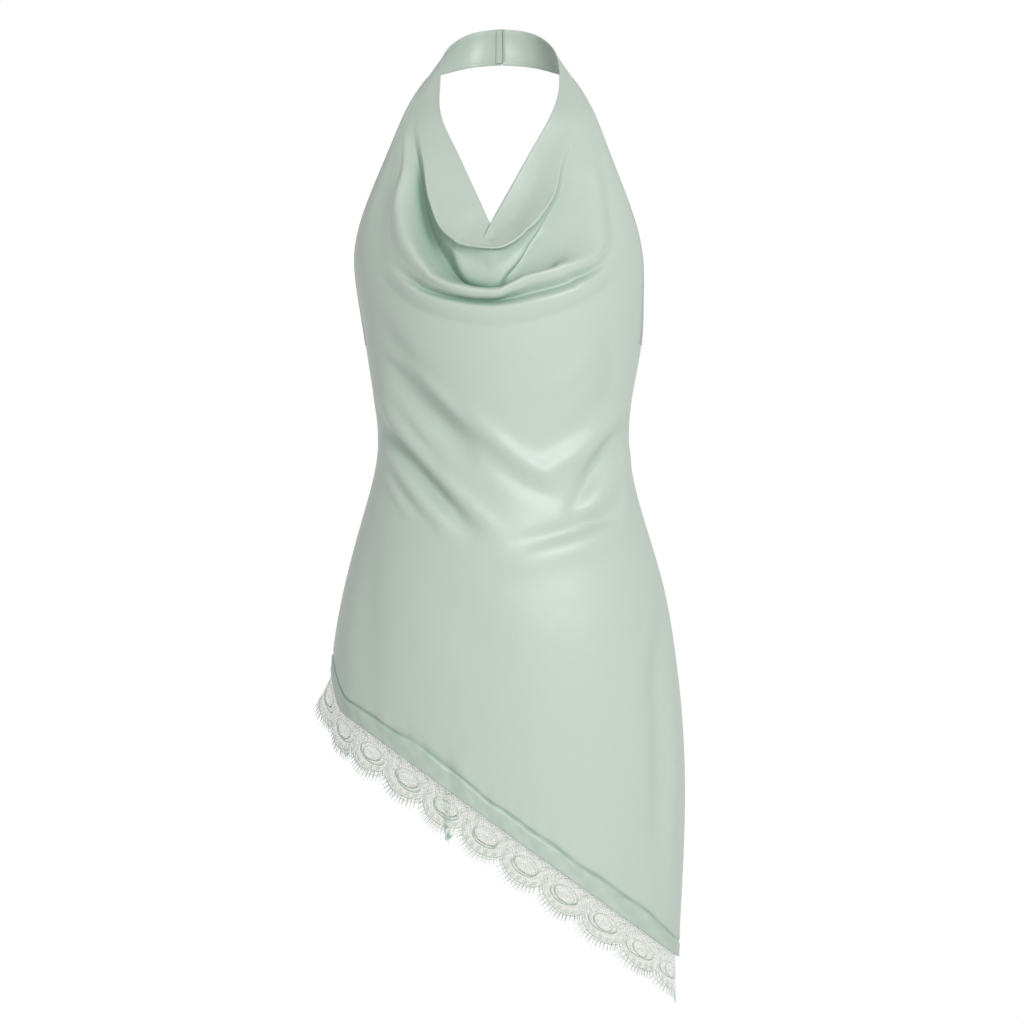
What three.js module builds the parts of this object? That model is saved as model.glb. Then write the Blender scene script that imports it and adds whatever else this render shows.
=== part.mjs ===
// A halter neck top in satin, held in the shape it has when it is worn, with no wearer.
// One front panel runs from the centre back of the neck strap, round the neck, down both straps,
// through the draped cowl and down to the slanting hem. A plain back panel closes the body below the open
// back. A narrow binding lies on each armhole edge, and scalloped lace with an eyelash fringe hangs from
// the hem.
// Units are millimetres. +X is to the right as seen from the front, +Y runs to the back and +Z runs up.
// The origin is where the strap rests on the nape of the neck.
import * as THREE from 'three';

// Walls and clearances
const SATIN_WALL = 1.2;
const TRIM_WALL = 1.0;
const LACE_WALL = 1.0;
const SEAM_GAP = 0.4;
const LAYER_GAP = 0.4;

// Body sections from the collar down. left and right are the outline, side is the depth of the side seam,
// front and back are the depths of the centre front and the centre back.
const LEVELS = [
  { z: -50, left: -88, right: 86, side: -78, front: -102, back: 12 },
  { z: -75, left: -100, right: 95, side: -86, front: -113, back: 12 },
  { z: -120, left: -119, right: 112, side: -97, front: -133, back: 12 },
  { z: -165, left: -137, right: 129, side: -102, front: -153, back: 12 },
  { z: -210, left: -147, right: 140, side: -99, front: -173, back: 12 },
  { z: -255, left: -143, right: 141, side: -92, front: -184, back: 12 },
  { z: -300, left: -136, right: 139, side: -86, front: -185, back: 10 },
  { z: -345, left: -129, right: 131, side: -84, front: -179, back: 2 },
  { z: -405, left: -124, right: 127, side: -84, front: -169, back: -8 },
  { z: -465, left: -137, right: 139, side: -82, front: -172, back: 4 },
  { z: -540, left: -157, right: 161, side: -79, front: -181, back: 28 },
  { z: -600, left: -168, right: 172, side: -77, front: -184, back: 40 },
  { z: -705, left: -174, right: 182, side: -76, front: -180, back: 41 },
  { z: -915, left: -177, right: 176, side: -77, front: -170, back: 31 },
  { z: -1010, left: -177, right: 172, side: -77, front: -166, back: 28 },
];
const BUST = { x: 80, z: -232, wide: 50, tall: 52, rise: 8 };

// The strap from the nape to the front of the neck, as the ends of lines across it. along is the place on
// the panel, 1 at the nape and 0 at the centre front. The upper edge of the strap becomes the neckline.
const STRAP = [
  { at: 'nape', along: 1, centre: 0, upHalf: 0.2, upY: -0.6, upZ: 18, lowHalf: 0.2, lowY: -2.2, lowZ: -17 },
  {
    at: 'back of neck', along: 0.93, centre: 0,
    upHalf: 27, upY: -1, upZ: 14.5, lowHalf: 30, lowY: -3, lowZ: -19.5,
  },
  {
    at: 'behind ear', along: 0.86, centre: -1,
    upHalf: 46.5, upY: -19, upZ: 4, lowHalf: 55, lowY: -22, lowZ: -26,
  },
  {
    at: 'side of neck', along: 0.78, centre: -2,
    upHalf: 57.5, upY: -47, upZ: -14, lowHalf: 74, lowY: -49, lowZ: -35,
  },
  {
    at: 'front of neck', along: 0.7, centre: -2.5,
    upHalf: 59.5, upY: -76, upZ: -42, lowHalf: 89, lowY: -74, lowZ: -57,
  },
];
const STRAP_CAMBER = 2.5;

// The V of the neckline: its point, and how far each side moves out for each millimetre up.
const NECK = { x: -12, z: -179, leftSlope: 0.452, rightSlope: 0.558 };

// Lines across the panel from the neckline to the armhole edge. up is the height of the inner end above the
// point of the V, left and right are the levels of the outer ends.
const CROSSINGS = [
  { at: 'underarm', along: 0.32, up: 12, left: -300, right: -300 },
  { at: 'bust', along: 0.39, up: 19, left: -232, right: -225 },
  { at: 'chest', along: 0.46, up: 36, left: -178, right: -178 },
  { at: 'upper chest', along: 0.54, up: 65, left: -130, right: -126 },
  { at: 'collar', along: 0.62, up: 106, left: -84, right: -80 },
];
const COLLAR = 0.62;

// Between the underarms the lines end on the yoke line, and the panel goes on straight down from there.
// turn is where a line ends, along is the place whose folds it has, and up is the height of its inner end
// above the V.
const UNDERARM = 0.32;
const YOKE = { side: -300, dip: 34 };
const FAN = [
  { turn: 0, along: 0, up: 0 },
  { turn: 0.04, along: 0.047, up: 0.4 },
  { turn: 0.14, along: 0.165, up: 4.5 },
  { turn: 0.235, along: 0.215, up: 6.5 },
  { turn: 0.33, along: 0.25, up: 8 },
  { turn: 0.6, along: 0.292, up: 9.6 },
  { turn: 0.8, along: 0.3052, up: 10.5 },
  { turn: 1, along: 0.32, up: 12 },
];

// The cowl's folds, one row each from the neckline outwards. The columns are places along the panel.
// reach is the distance from the neckline and rise is how far the cloth stands proud of the body form.
const PLACES = [-0.62, -0.54, -0.46, -0.39, -0.32, -0.24, 0, 0.24, 0.32, 0.39, 0.46, 0.54, 0.62];
const FOLDS = [
  {
    fold: 'neckline',
    reach: [0, 0, 0, 0, 0, 0, 0, 0, 0, 0, 0, 0, 0],
    rise: [0, 0, 0, 0, 0, 0, 0, 0, 0, 0, 0, 0, 0],
  },
  {
    fold: 'facing',
    reach: [12, 18, 22, 22, 20, 16, 13, 15, 17, 19, 20, 16, 13],
    rise: [0, 1, 2, 3, 2, 2, 2, 1.5, 1, 0, -1, 0, 0],
  },
  {
    fold: 'roll top',
    reach: [20, 33, 41, 43.5, 39, 33, 26, 31.5, 32.5, 35.5, 39, 30.5, 20],
    rise: [0, 3, 5, 7, 9, 10, 10, 10, 9, 7, 5, 3, 0],
  },
  {
    fold: 'roll',
    reach: [23, 36.5, 45.5, 48, 44.5, 37, 29.5, 36, 37, 41.5, 43.5, 34.5, 23],
    rise: [0, 3.5, 6, 8.5, 12, 13, 13, 13, 12, 9, 6.5, 3.5, 0],
  },
  {
    fold: 'roll under',
    reach: [24.5, 37.8, 46.4, 48.2, 45.2, 37.7, 30, 36.8, 38, 42.7, 44.8, 36, 25],
    rise: [0, 2, 2.5, 3.5, 6, 6.5, 6.5, 6, 7, 5, 4, 2, 0],
  },
  {
    fold: 'flat',
    reach: [25.5, 38.8, 47, 49, 47.5, 45, 43, 42, 40.5, 43.8, 45.6, 37, 26],
    rise: [0, 0, -1, -1, 1, -1, -2, 0, 2, 3, 2, 1, 0],
  },
  {
    fold: 'flat edge',
    reach: [26.5, 40, 48, 50.5, 50, 64, 60, 51, 44, 45.2, 46.6, 38, 27],
    rise: [-0.25, -2, -5, -5, -2, -6, -5, -3.5, -1, 1, 1, 0.5, 0],
  },
  {
    fold: 'hollow',
    reach: [29, 43, 54, 58, 59, 71, 67.5, 53.5, 47.5, 49, 49, 39.5, 29],
    rise: [-0.75, -6, -11, -15, -16, -12, -9, -7, -5, -2, -1.5, -1, -0.25],
  },
  {
    fold: 'crease',
    reach: [32.5, 48, 63, 70, 73, 71.5, 65, 65, 75, 75, 66, 50, 31.5],
    rise: [-0.25, -2, -2, -3, -4, 0, 3, -6, -3.5, -1, 0, 0.5, 0.25],
  },
  {
    fold: 'swag',
    reach: [36, 56, 76, 82, 82, 75.5, 68.5, 69, 83, 104, 90, 66, 35],
    rise: [0.75, 5, 9, 12, 11, 11.5, 12, 10, 9, 6, 4, 3, 0.5],
  },
  {
    fold: 'swag under',
    reach: [38, 60, 84, 95, 89, 82, 74, 76, 91, 112, 98, 73, 38.5],
    rise: [0.5, 3, 6, 6, 7, 8, 9, 8, 7, 4, 2, 1.5, 0.25],
  },
  {
    fold: 'groove',
    reach: [39.5, 64, 90, 104, 98, 86, 77, 84.5, 101, 118, 103, 77, 40.5],
    rise: [0.25, 2, 3, 3, 0, -1.5, -2, -1.5, -1, 1, 0, 0.5, 0],
  },
  {
    fold: 'low swag',
    reach: [41, 68, 96, 112, 104, 93, 85, 94, 111, 125, 108, 81, 42.5],
    rise: [0, 1, 1, 1, 6, 6, 6, 6, 6, 1, 0, 0, 0],
  },
  {
    fold: 'soft dip',
    reach: [42.5, 72, 103, 122, 118, 110, 103, 112, 127, 136, 114, 85, 44.5],
    rise: [0, 0, 0, 0, 0, 0, 0, 0, 0, 0, 0, 0, 0],
  },
];
const LAST_FOLD = FOLDS.length - 1;

// The largest drag folds of the body, seen from the front: where each starts, bends and ends, how wide it is
// and how far it stands out, or in where rise is below zero.
const DRAGS = [
  { at: 'left shoulder', x1: -124, z1: -272, x2: -104, z2: -304, x3: -70, z3: -336, wide: 9, rise: -4 },
  { at: 'left upper', x1: -116, z1: -318, x2: -76, z2: -364, x3: -28, z3: -404, wide: 14, rise: -7 },
  { at: 'left ridge', x1: -123, z1: -342, x2: -90, z2: -404, x3: -8, z3: -484, wide: 9, rise: 5 },
  { at: 'left groove', x1: -119, z1: -384, x2: -78, z2: -430, x3: -30, z3: -486, wide: 9, rise: -6.5 },
  { at: 'left low ridge', x1: -117, z1: -402, x2: -92, z2: -440, x3: -52, z3: -490, wide: 9, rise: 4 },
  { at: 'right shoulder', x1: 100, z1: -290, x2: 112, z2: -322, x3: 104, z3: -372, wide: 12, rise: -3 },
  { at: 'right swag', x1: 124, z1: -361, x2: 76, z2: -414, x3: -4, z3: -412, wide: 12, rise: 5 },
  { at: 'right groove', x1: 124, z1: -378, x2: 98, z2: -413, x3: 70, z3: -463, wide: 8, rise: -6 },
  { at: 'right pocket', x1: 124, z1: -400, x2: 110, z2: -436, x3: 84, z3: -466, wide: 9, rise: 4 },
  { at: 'right low groove', x1: 112, z1: -466, x2: 76, z2: -482, x3: 16, z3: -498, wide: 9, rise: -4 },
  { at: 'right low ridge', x1: 126, z1: -476, x2: 83, z2: -499, x3: 8, z3: -520, wide: 13, rise: 3 },
  { at: 'right side', x1: 153, z1: -575, x2: 158, z2: -695, x3: 153, z3: -815, wide: 10, rise: -3.5 },
];

// The hem of the satin is a slanting cut: its level at x = 0 and its fall for each millimetre to the right.
// It rises by lift towards the left side seam, starting at the turn liftFrom.
const HEM = { z: -784, fall: 0.727, lift: 36, liftFrom: -0.72 };
const BACK_TOP = { side: -300, dip: 26 };

// The lace trim, sewn inside the hem and measured down from the satin's edge along the cloth.
const LACE = {
  heading: 8, valley: 23, tip: 36, scallops: 11,
  inset: 1.4, lean: 0.12, flare: 0.06, leftFlare: 0.34, plumb: -0.5,
};
const LACE_COLUMNS_A_SCALLOP = 8;
const LACE_TAIL = { reach: 0.045, extra: 12 };
const EYELASH = { count: 60, gap: 2.2, root: 2.2, length: 8, width: 2 };
const BINDING_WIDTH = 6;
const NAPE_SEAM = { from: -5.5, to: -0.9, wall: 0.8 };

const { sin, cos, abs, sign, hypot, asin, exp, round, max, min, floor, PI } = Math;
const clamp = (value, low, high) => min(max(value, low), high);
const mix = (a, b, share) => a + (b - a) * share;
const mix3 = (a, b, share) => a.map((value, axis) => mix(value, b[axis], share));
const ease = (from, to, value) => {
  const share = clamp((value - from) / (to - from), 0, 1);
  return share * share * (3 - 2 * share);
};

// A natural cubic spline through the points, for outlines that bend smoothly.
function smoothCurve(xs, ys) {
  const count = xs.length;
  const bend = new Array(count).fill(0);
  const carry = new Array(count).fill(0);
  for (let i = 1; i < count - 1; i++) {
    const before = xs[i] - xs[i - 1];
    const span = xs[i + 1] - xs[i - 1];
    const part = before / span;
    const scale = part * bend[i - 1] + 2;
    const turn = (ys[i + 1] - ys[i]) / (xs[i + 1] - xs[i]) - (ys[i] - ys[i - 1]) / before;
    bend[i] = (part - 1) / scale;
    carry[i] = ((6 * turn) / span - part * carry[i - 1]) / scale;
  }
  for (let i = count - 2; i > 0; i--) bend[i] = bend[i] * bend[i + 1] + carry[i];
  bend[0] = 0;
  return (x) => {
    let i = 0;
    while (i < count - 2 && x > xs[i + 1]) i++;
    const wide = xs[i + 1] - xs[i];
    const a = (xs[i + 1] - x) / wide;
    const b = 1 - a;
    const straight = a * ys[i] + b * ys[i + 1];
    return straight + ((a ** 3 - a) * bend[i] + (b ** 3 - b) * bend[i + 1]) * wide * wide / 6;
  };
}

// A cubic curve through the points that never overshoots them, for places along the panel.
function steadyCurve(xs, ys) {
  const last = xs.length - 1;
  const step = xs.slice(1).map((x, i) => (ys[i + 1] - ys[i]) / (x - xs[i]));
  const slope = xs.map((_, i) => {
    if (i === 0) return step[0];
    if (i === last) return step[last - 1];
    return step[i - 1] * step[i] <= 0 ? 0 : (2 * step[i - 1] * step[i]) / (step[i - 1] + step[i]);
  });
  return (x) => {
    let i = 0;
    while (i < last - 1 && x > xs[i + 1]) i++;
    const wide = xs[i + 1] - xs[i];
    const t = clamp((x - xs[i]) / wide, 0, 1);
    const rest = 1 - t;
    return rest * rest * ((1 + 2 * t) * ys[i] + t * wide * slope[i])
      + t * t * ((3 - 2 * t) * ys[i + 1] - rest * wide * slope[i + 1]);
  };
}

// The body form
const risingLevels = [...LEVELS].reverse();
const levelHeights = risingLevels.map((row) => row.z);
const levelCurve = (column) => smoothCurve(levelHeights, risingLevels.map((row) => row[column]));
const leftAt = levelCurve('left');
const rightAt = levelCurve('right');
const sideAt = levelCurve('side');
const frontAt = levelCurve('front');
const backAt = levelCurve('back');
const middleAt = (z) => (leftAt(z) + rightAt(z)) / 2;
const halfAt = (z) => (rightAt(z) - leftAt(z)) / 2;

// The depth of the body's front at a place seen from the front: half an ellipse across, with the bust added.
function frontDepth(x, z) {
  const across = clamp((x - middleAt(z)) / halfAt(z), -1, 1);
  const bust = (centre) => exp(-(((x - centre) / BUST.wide) ** 2) - ((z - BUST.z) / BUST.tall) ** 2);
  const bow = Math.sqrt(1 - across * across);
  return sideAt(z) + (frontAt(z) - sideAt(z)) * bow - BUST.rise * bow * (bust(-BUST.x) + bust(BUST.x));
}

// A point on the front or back of the body form, where turn runs from -1 at the left side to 1 at the right.
function bodyPoint(turn, z, isBack) {
  const angle = (turn * PI) / 2;
  const x = middleAt(z) + halfAt(z) * sin(angle);
  if (!isBack) return [x, frontDepth(x, z) - SEAM_GAP / 2, z];
  return [x, sideAt(z) + (backAt(z) - sideAt(z)) * cos(angle) ** 0.85 + SEAM_GAP / 2, z];
}

// The level of the satin's edge at a turn round the body.
function hemAt(turn) {
  const top = HEM.z + HEM.lift * (1 - ease(-1, HEM.liftFrom, turn));
  let z = HEM.z;
  for (let pass = 0; pass < 12; pass++) {
    const x = middleAt(z) + halfAt(z) * sin((turn * PI) / 2);
    z = mix(z, top - HEM.fall * x, 0.7);
  }
  return z;
}

// The panel's inner and outer edges
const neckPoint = (side, up) => {
  const x = NECK.x + side * up * (side < 0 ? NECK.leftSlope : NECK.rightSlope);
  return [x, NECK.z + up];
};
const onFront = ([x, z]) => [x, frontDepth(x, z) - SEAM_GAP / 2, z];

function edgesOf(side) {
  const level = side < 0 ? 'left' : 'right';
  const outlineAt = side < 0 ? leftAt : rightAt;
  const crossings = CROSSINGS.map((row) => ({
    along: row.along,
    inner: onFront(neckPoint(side, row.up)),
    outer: onFront([outlineAt(row[level]), row[level]]),
  }));
  const strap = [...STRAP].reverse().map((row) => ({
    along: row.along,
    inner: [row.centre + side * row.upHalf, row.upY, row.upZ],
    outer: [row.centre + side * row.lowHalf, row.lowY, row.lowZ],
  }));
  const rows = [...crossings, ...strap];
  const places = rows.map((row) => row.along);
  const curves = (edge) => [0, 1, 2].map((axis) => smoothCurve(places, rows.map((row) => row[edge][axis])));
  const inner = curves('inner');
  const outer = curves('outer');
  const upAt = steadyCurve(CROSSINGS.map((row) => row.along), CROSSINGS.map((row) => row.up));
  const downAt = steadyCurve(CROSSINGS.map((row) => row.along), CROSSINGS.map((row) => row[level]));
  return { inner, outer, upAt, downAt, outlineAt };
}
const edges = { left: edgesOf(-1), right: edgesOf(1) };

// The two ends of the line across the panel at a place, which is below zero on the left.
const yokeAt = (turn) => YOKE.side - YOKE.dip * cos((turn * PI) / 2) ** 2;
const fanAlong = steadyCurve(FAN.map((row) => row.turn), FAN.map((row) => row.along));
const fanUp = steadyCurve(FAN.map((row) => row.turn), FAN.map((row) => row.up));
function crossing(place) {
  const along = abs(place);
  const side = place < 0 ? -1 : 1;
  if (along <= UNDERARM) {
    const turn = place / UNDERARM;
    const inner = onFront(neckPoint(side, fanUp(abs(turn))));
    return { inner, outer: bodyPoint(turn, yokeAt(turn), false) };
  }
  const { inner, outer, upAt, downAt, outlineAt } = side < 0 ? edges.left : edges.right;
  const free = [inner.map((curve) => curve(along)), outer.map((curve) => curve(along))];
  if (along >= COLLAR) return { inner: free[0], outer: free[1] };
  const level = downAt(along);
  const onBody = [onFront(neckPoint(side, upAt(along))), onFront([outlineAt(level), level])];
  const share = ease(0.5, COLLAR, along);
  return { inner: mix3(onBody[0], free[0], share), outer: mix3(onBody[1], free[1], share) };
}
const crossingLength = ({ inner, outer }) => hypot(outer[0] - inner[0], outer[2] - inner[2]);

// The panel with no folds: the body form seen along a crossing, and a slightly arched band round the neck.
function plainPoint(place, reach) {
  const line = crossing(place);
  const along = abs(place);
  const strapLength = Math.hypot(...line.outer.map((value, axis) => value - line.inner[axis]));
  const share = along >= COLLAR ? reach / strapLength : reach / crossingLength(line);
  const flat = mix3(line.inner, line.outer, share);
  const wrap = ease(0.56, 0.68, along);
  const arch = 4 * share * (1 - share) * STRAP_CAMBER;
  const around = place < 0 ? -1 : 1;
  const angle = ease(0.66, 1, along) * (PI / 2);
  const bulge = arch * (2 * ease(0.7, 0.9, along) - 1);
  const band = [flat[0] + around * arch * cos(angle) * 0.6, flat[1] + bulge, flat[2]];
  if (wrap >= 1) return band;
  const body = onFront([flat[0], flat[2]]);
  return mix3(body, band, wrap);
}
const lineLength = (place) => {
  const line = crossing(place);
  if (abs(place) < COLLAR) return crossingLength(line);
  return Math.hypot(...line.outer.map((value, axis) => value - line.inner[axis]));
};

// The reach and rise of each fold at a place; on the strap they keep their share of its width and lie flat.
const reachCurves = FOLDS.map((row) => steadyCurve(PLACES, row.reach));
const riseCurves = FOLDS.map((row) => steadyCurve(PLACES, row.rise));
function foldsAt(place) {
  const between = abs(place) < UNDERARM;
  const held = between ? sign(place) * fanAlong(abs(place) / UNDERARM) : clamp(place, -COLLAR, COLLAR);
  const scale = abs(place) > COLLAR ? lineLength(place) / lineLength(held) : 1;
  const fade = 1 - ease(0.5, 0.67, abs(place));
  return FOLDS.map((_, i) => [reachCurves[i](held) * scale, riseCurves[i](held) * fade]);
}

function dragRise(x, z) {
  let total = 0;
  for (const drag of DRAGS) {
    let nearest = Infinity;
    let at = 0;
    for (let i = 0; i <= 24; i++) {
      const t = i / 24;
      const bendX = 2 * drag.x2 - (drag.x1 + drag.x3) / 2;
      const bendZ = 2 * drag.z2 - (drag.z1 + drag.z3) / 2;
      const px = (1 - t) ** 2 * drag.x1 + 2 * t * (1 - t) * bendX + t * t * drag.x3;
      const pz = (1 - t) ** 2 * drag.z1 + 2 * t * (1 - t) * bendZ + t * t * drag.z3;
      const away = hypot(x - px, z - pz);
      if (away < nearest) {
        nearest = away;
        at = t;
      }
    }
    const fading = sin(PI * clamp(at * 0.94 + 0.03, 0, 1)) ** 0.6;
    total += drag.rise * exp(-((nearest / drag.wide) ** 2)) * fading;
  }
  return total;
}

// The body below the yoke line: share runs from 0 there to 1 at the hem.
function skirtPoint(turn, share) {
  const z = mix(yokeAt(turn), hemAt(turn), share);
  const base = bodyPoint(turn, z, false);
  const inside = clamp(turn, -0.995, 0.995);
  const at = (value, level) => new THREE.Vector3(...bodyPoint(value, level, false));
  const along = at(inside + 0.004, z).sub(at(inside - 0.004, z));
  const out = along.cross(at(inside, z + 1).sub(at(inside, z - 1))).normalize();
  const rise = dragRise(base[0], base[2]);
  return base.map((value, axis) => value + out.getComponent(axis) * rise);
}

// A point of the front panel. row counts the folds from the neckline, EDGE is the armhole edge or the yoke
// line, and one row more is the hem.
const EDGE = LAST_FOLD + 1;
function panelPoint(place, row) {
  if (row > EDGE) return skirtPoint(place / UNDERARM, row - EDGE);
  const folds = foldsAt(place);
  const length = lineLength(place);
  let reach;
  let rise;
  if (row <= LAST_FOLD) {
    const i = min(floor(row), LAST_FOLD - 1);
    const t = row - i;
    const around = [folds[max(i - 1, 0)], folds[i], folds[i + 1], folds[min(i + 2, LAST_FOLD)]];
    const blend = (k) => {
      const [a, b, c, d] = around.map((pair) => pair[k]);
      return b + 0.5 * t * (c - a + t * (2 * a - 5 * b + 4 * c - d + t * (3 * (b - c) + d - a)));
    };
    reach = blend(0);
    rise = blend(1);
  } else {
    const share = row - LAST_FOLD;
    reach = mix(folds[LAST_FOLD][0], length, share);
    rise = folds[LAST_FOLD][1] * (1 - share);
  }
  const base = plainPoint(place, reach);
  const step = 0.5;
  const inward = place < 0 ? 1 : -1;
  const outerEnd = reach > length - 1 ? -1 : 1;
  const nextAlong = plainPoint(place + 0.002 * inward, reach);
  const nextAcross = plainPoint(place, reach + step * outerEnd);
  const alongWay = base.map((value, axis) => (nextAlong[axis] - value) * inward);
  const acrossWay = base.map((value, axis) => (nextAcross[axis] - value) * outerEnd);
  const out = new THREE.Vector3(...acrossWay).cross(new THREE.Vector3(...alongWay)).normalize();
  const onBody = 1 - ease(0.45, 0.56, abs(place));
  const away = rise + (onBody > 0 ? onBody * dragRise(base[0], base[2]) : 0);
  return base.map((value, axis) => value + out.getComponent(axis) * away);
}

// Thickens a sheet, given as points and triangles, into one closed wall. The sheet's faces look outwards.
function thicken(points, triangles, outward, inward) {
  const count = points.length;
  const normals = points.map(() => new THREE.Vector3());
  const edge = new Map();
  for (const [a, b, c] of triangles) {
    const [pa, pb, pc] = [a, b, c].map((i) => new THREE.Vector3(...points[i]));
    const normal = pb.sub(pa).cross(pc.sub(pa));
    for (const i of [a, b, c]) normals[i].add(normal);
    for (const [from, to] of [[a, b], [b, c], [c, a]]) {
      if (edge.has(`${to},${from}`)) edge.delete(`${to},${from}`);
      else edge.set(`${from},${to}`, [from, to]);
    }
  }
  const positions = [];
  for (const offset of [outward, -inward]) {
    points.forEach((point, i) => {
      const normal = normals[i].clone().normalize();
      positions.push(...point.map((value, axis) => value + normal.getComponent(axis) * offset));
    });
  }
  const index = [];
  for (const [a, b, c] of triangles) index.push(a, b, c, c + count, b + count, a + count);
  for (const [from, to] of edge.values()) {
    index.push(to, from, from + count, to, from + count, to + count);
  }
  const geometry = new THREE.BufferGeometry();
  geometry.setAttribute('position', new THREE.Float32BufferAttribute(positions, 3));
  geometry.setIndex(index);
  return geometry;
}

// Joins neighbouring columns of points, which may hold different numbers of them, into triangles.
// Each column is a list of { row, point }, with row rising. Where one column stops at an earlier row, the
// rest of the other one is left as an edge.
function stitchColumns(columns) {
  const points = [];
  const starts = columns.map((column) => {
    const start = points.length;
    points.push(...column.map((entry) => entry.point));
    return start;
  });
  const triangles = [];
  for (let c = 0; c + 1 < columns.length; c++) {
    const last = min(columns[c].at(-1).row, columns[c + 1].at(-1).row);
    const near = columns[c].filter((entry) => entry.row <= last);
    const far = columns[c + 1].filter((entry) => entry.row <= last);
    let i = 0;
    let j = 0;
    while (i + 1 < near.length || j + 1 < far.length) {
      const nearNext = i + 1 < near.length ? near[i + 1].row : Infinity;
      const farNext = j + 1 < far.length ? far[j + 1].row : Infinity;
      const [a, b] = [starts[c] + i, starts[c + 1] + j];
      if (nearNext <= farNext) {
        triangles.push([a, a + 1, b]);
        i++;
      } else {
        triangles.push([a, b + 1, b]);
        j++;
      }
    }
  }
  return { points, triangles };
}

const cloth = (color, roughness) => (
  new THREE.MeshStandardMaterial({ color, roughness, metalness: 0, side: THREE.DoubleSide })
);
const satin = (color) => cloth(color, 0.42);
const materials = {
  satin: satin('#bfd0c5'),
  lace: cloth('#cdd8cf', 0.8),
};
const top = new THREE.Group();
function addPiece(name, geometry, material) {
  const mesh = new THREE.Mesh(geometry, material);
  mesh.name = name;
  top.add(mesh);
}

// The front panel
const stepsBetween = (from, to, count) => Array.from({ length: count }, (_, i) => mix(from, to, i / count));
const sidePlaces = [...stepsBetween(1, COLLAR, 11), ...stepsBetween(COLLAR, UNDERARM, 14)];
const FRONT_COLUMNS = 30;
const frontPlaces = Array.from({ length: FRONT_COLUMNS + 1 }, (_, i) => {
  const step = (2 * i) / FRONT_COLUMNS - 1;
  return UNDERARM * step * (0.8 + 0.2 * step * step);
});
const panelPlaces = [...sidePlaces.map((place) => -place), ...frontPlaces, ...[...sidePlaces].reverse()];
const STRAP_ROWS = [0, 1, 2, 3.5, 5.5, 7, 9, 11, 13, 14];
const COWL_ROWS = [0, 1, 1.6, 2, 2.5, 3, 3.5, 4, 5, 6, 6.5, 7, 7.6, 8, 8.5, 9, 9.5, 10, 11, 11.5, 12, 13];
const SKIRT_ROWS = 21;
function rowsAt(place) {
  if (abs(place) > 0.66) return STRAP_ROWS;
  const below = lineLength(place) - foldsAt(place)[LAST_FOLD][0];
  const count = clamp(round(below / 20), 2, 4);
  const rows = [...COWL_ROWS, ...Array.from({ length: count }, (_, i) => LAST_FOLD + (i + 1) / count)];
  if (abs(place) > UNDERARM + 1e-9) return rows;
  return [...rows, ...Array.from({ length: SKIRT_ROWS }, (_, i) => EDGE + (i + 1) / SKIRT_ROWS)];
}
const panelColumn = (place) => rowsAt(place).map((row) => ({ row, point: panelPoint(place, row) }));
const panelColumns = panelPlaces.map(panelColumn);
const panel = stitchColumns(panelColumns);
const HALF_SATIN = SATIN_WALL / 2;
const HALF_LACE = LACE_WALL / 2;
addPiece('front_panel', thicken(panel.points, panel.triangles, HALF_SATIN, HALF_SATIN), materials.satin);

// The back panel
const BACK_COLUMNS = 26;
const BACK_ROWS = 16;
const backTopLevel = (turn) => BACK_TOP.side - BACK_TOP.dip * cos((turn * PI) / 2) ** 2;
const backColumns = Array.from({ length: BACK_COLUMNS + 1 }, (_, i) => {
  const turn = 1 - (2 * i) / BACK_COLUMNS;
  return Array.from({ length: BACK_ROWS + 1 }, (_, row) => {
    const z = mix(backTopLevel(turn), hemAt(turn), row / BACK_ROWS);
    return { row, point: bodyPoint(turn, z, true) };
  });
});
const back = stitchColumns(backColumns);
addPiece('back_panel', thicken(back.points, back.triangles, HALF_SATIN, HALF_SATIN), materials.satin);

// A binding on each armhole edge, made from the panel's own edge moved out
for (const side of [-1, 1]) {
  const columns = [];
  panelColumns.forEach((column, i) => {
    const along = abs(panelPlaces[i]);
    if (panelPlaces[i] * side < 0 || along < UNDERARM - 1e-9 || along > 0.999) return;
    const last = column.findIndex((entry) => entry.row === EDGE);
    const outer = column[last].point;
    const before = column[last - 1].point;
    const across = Math.hypot(...outer.map((value, axis) => value - before[axis]));
    const share = min(BINDING_WIDTH / across, 1);
    columns.push([outer, mix3(outer, before, share)].reverse().map((point, row) => ({ row, point })));
  });
  const strip = stitchColumns(columns);
  const from = SATIN_WALL / 2 + LAYER_GAP;
  const name = side < 0 ? 'armhole_binding_left' : 'armhole_binding_right';
  addPiece(name, thicken(strip.points, strip.triangles, from + TRIM_WALL, -from), materials.satin);
}

// The hem's frame at a turn: the point on the satin's edge, outwards from the cloth, and down across it.
// Down is plumb at the left side seam and turns to be square to the hem by the turn LACE.plumb.
const vectorOf = (from, to) => new THREE.Vector3(...to.map((value, axis) => value - from[axis]));
function hemFrame(turn, isBack) {
  const inside = clamp(turn, -0.999, 0.999);
  const at = (value, dz) => bodyPoint(value, hemAt(value) + dz, isBack);
  const along = vectorOf(at(inside - 0.001, 0), at(inside + 0.001, 0)).normalize();
  const up = vectorOf(at(inside, 0), at(inside, 1)).normalize();
  const out = isBack ? up.clone().cross(along) : along.clone().cross(up);
  out.normalize();
  const square = isBack ? out.clone().cross(along) : along.clone().cross(out);
  const down = up.negate().lerp(square, ease(-1, LACE.plumb, turn)).normalize();
  return { point: at(turn, 0), out, down };
}

// Even steps along the hem, so that the scallops keep one size
function hemTurns(isBack) {
  const turns = Array.from({ length: 241 }, (_, i) => -1 + i / 120);
  const lengths = [0];
  for (let i = 1; i < turns.length; i++) {
    const step = vectorOf(hemFrame(turns[i - 1], isBack).point, hemFrame(turns[i], isBack).point).length();
    lengths.push(lengths[i - 1] + step);
  }
  const turnAt = steadyCurve(lengths, turns);
  return (share) => turnAt(share * lengths.at(-1));
}

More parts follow.
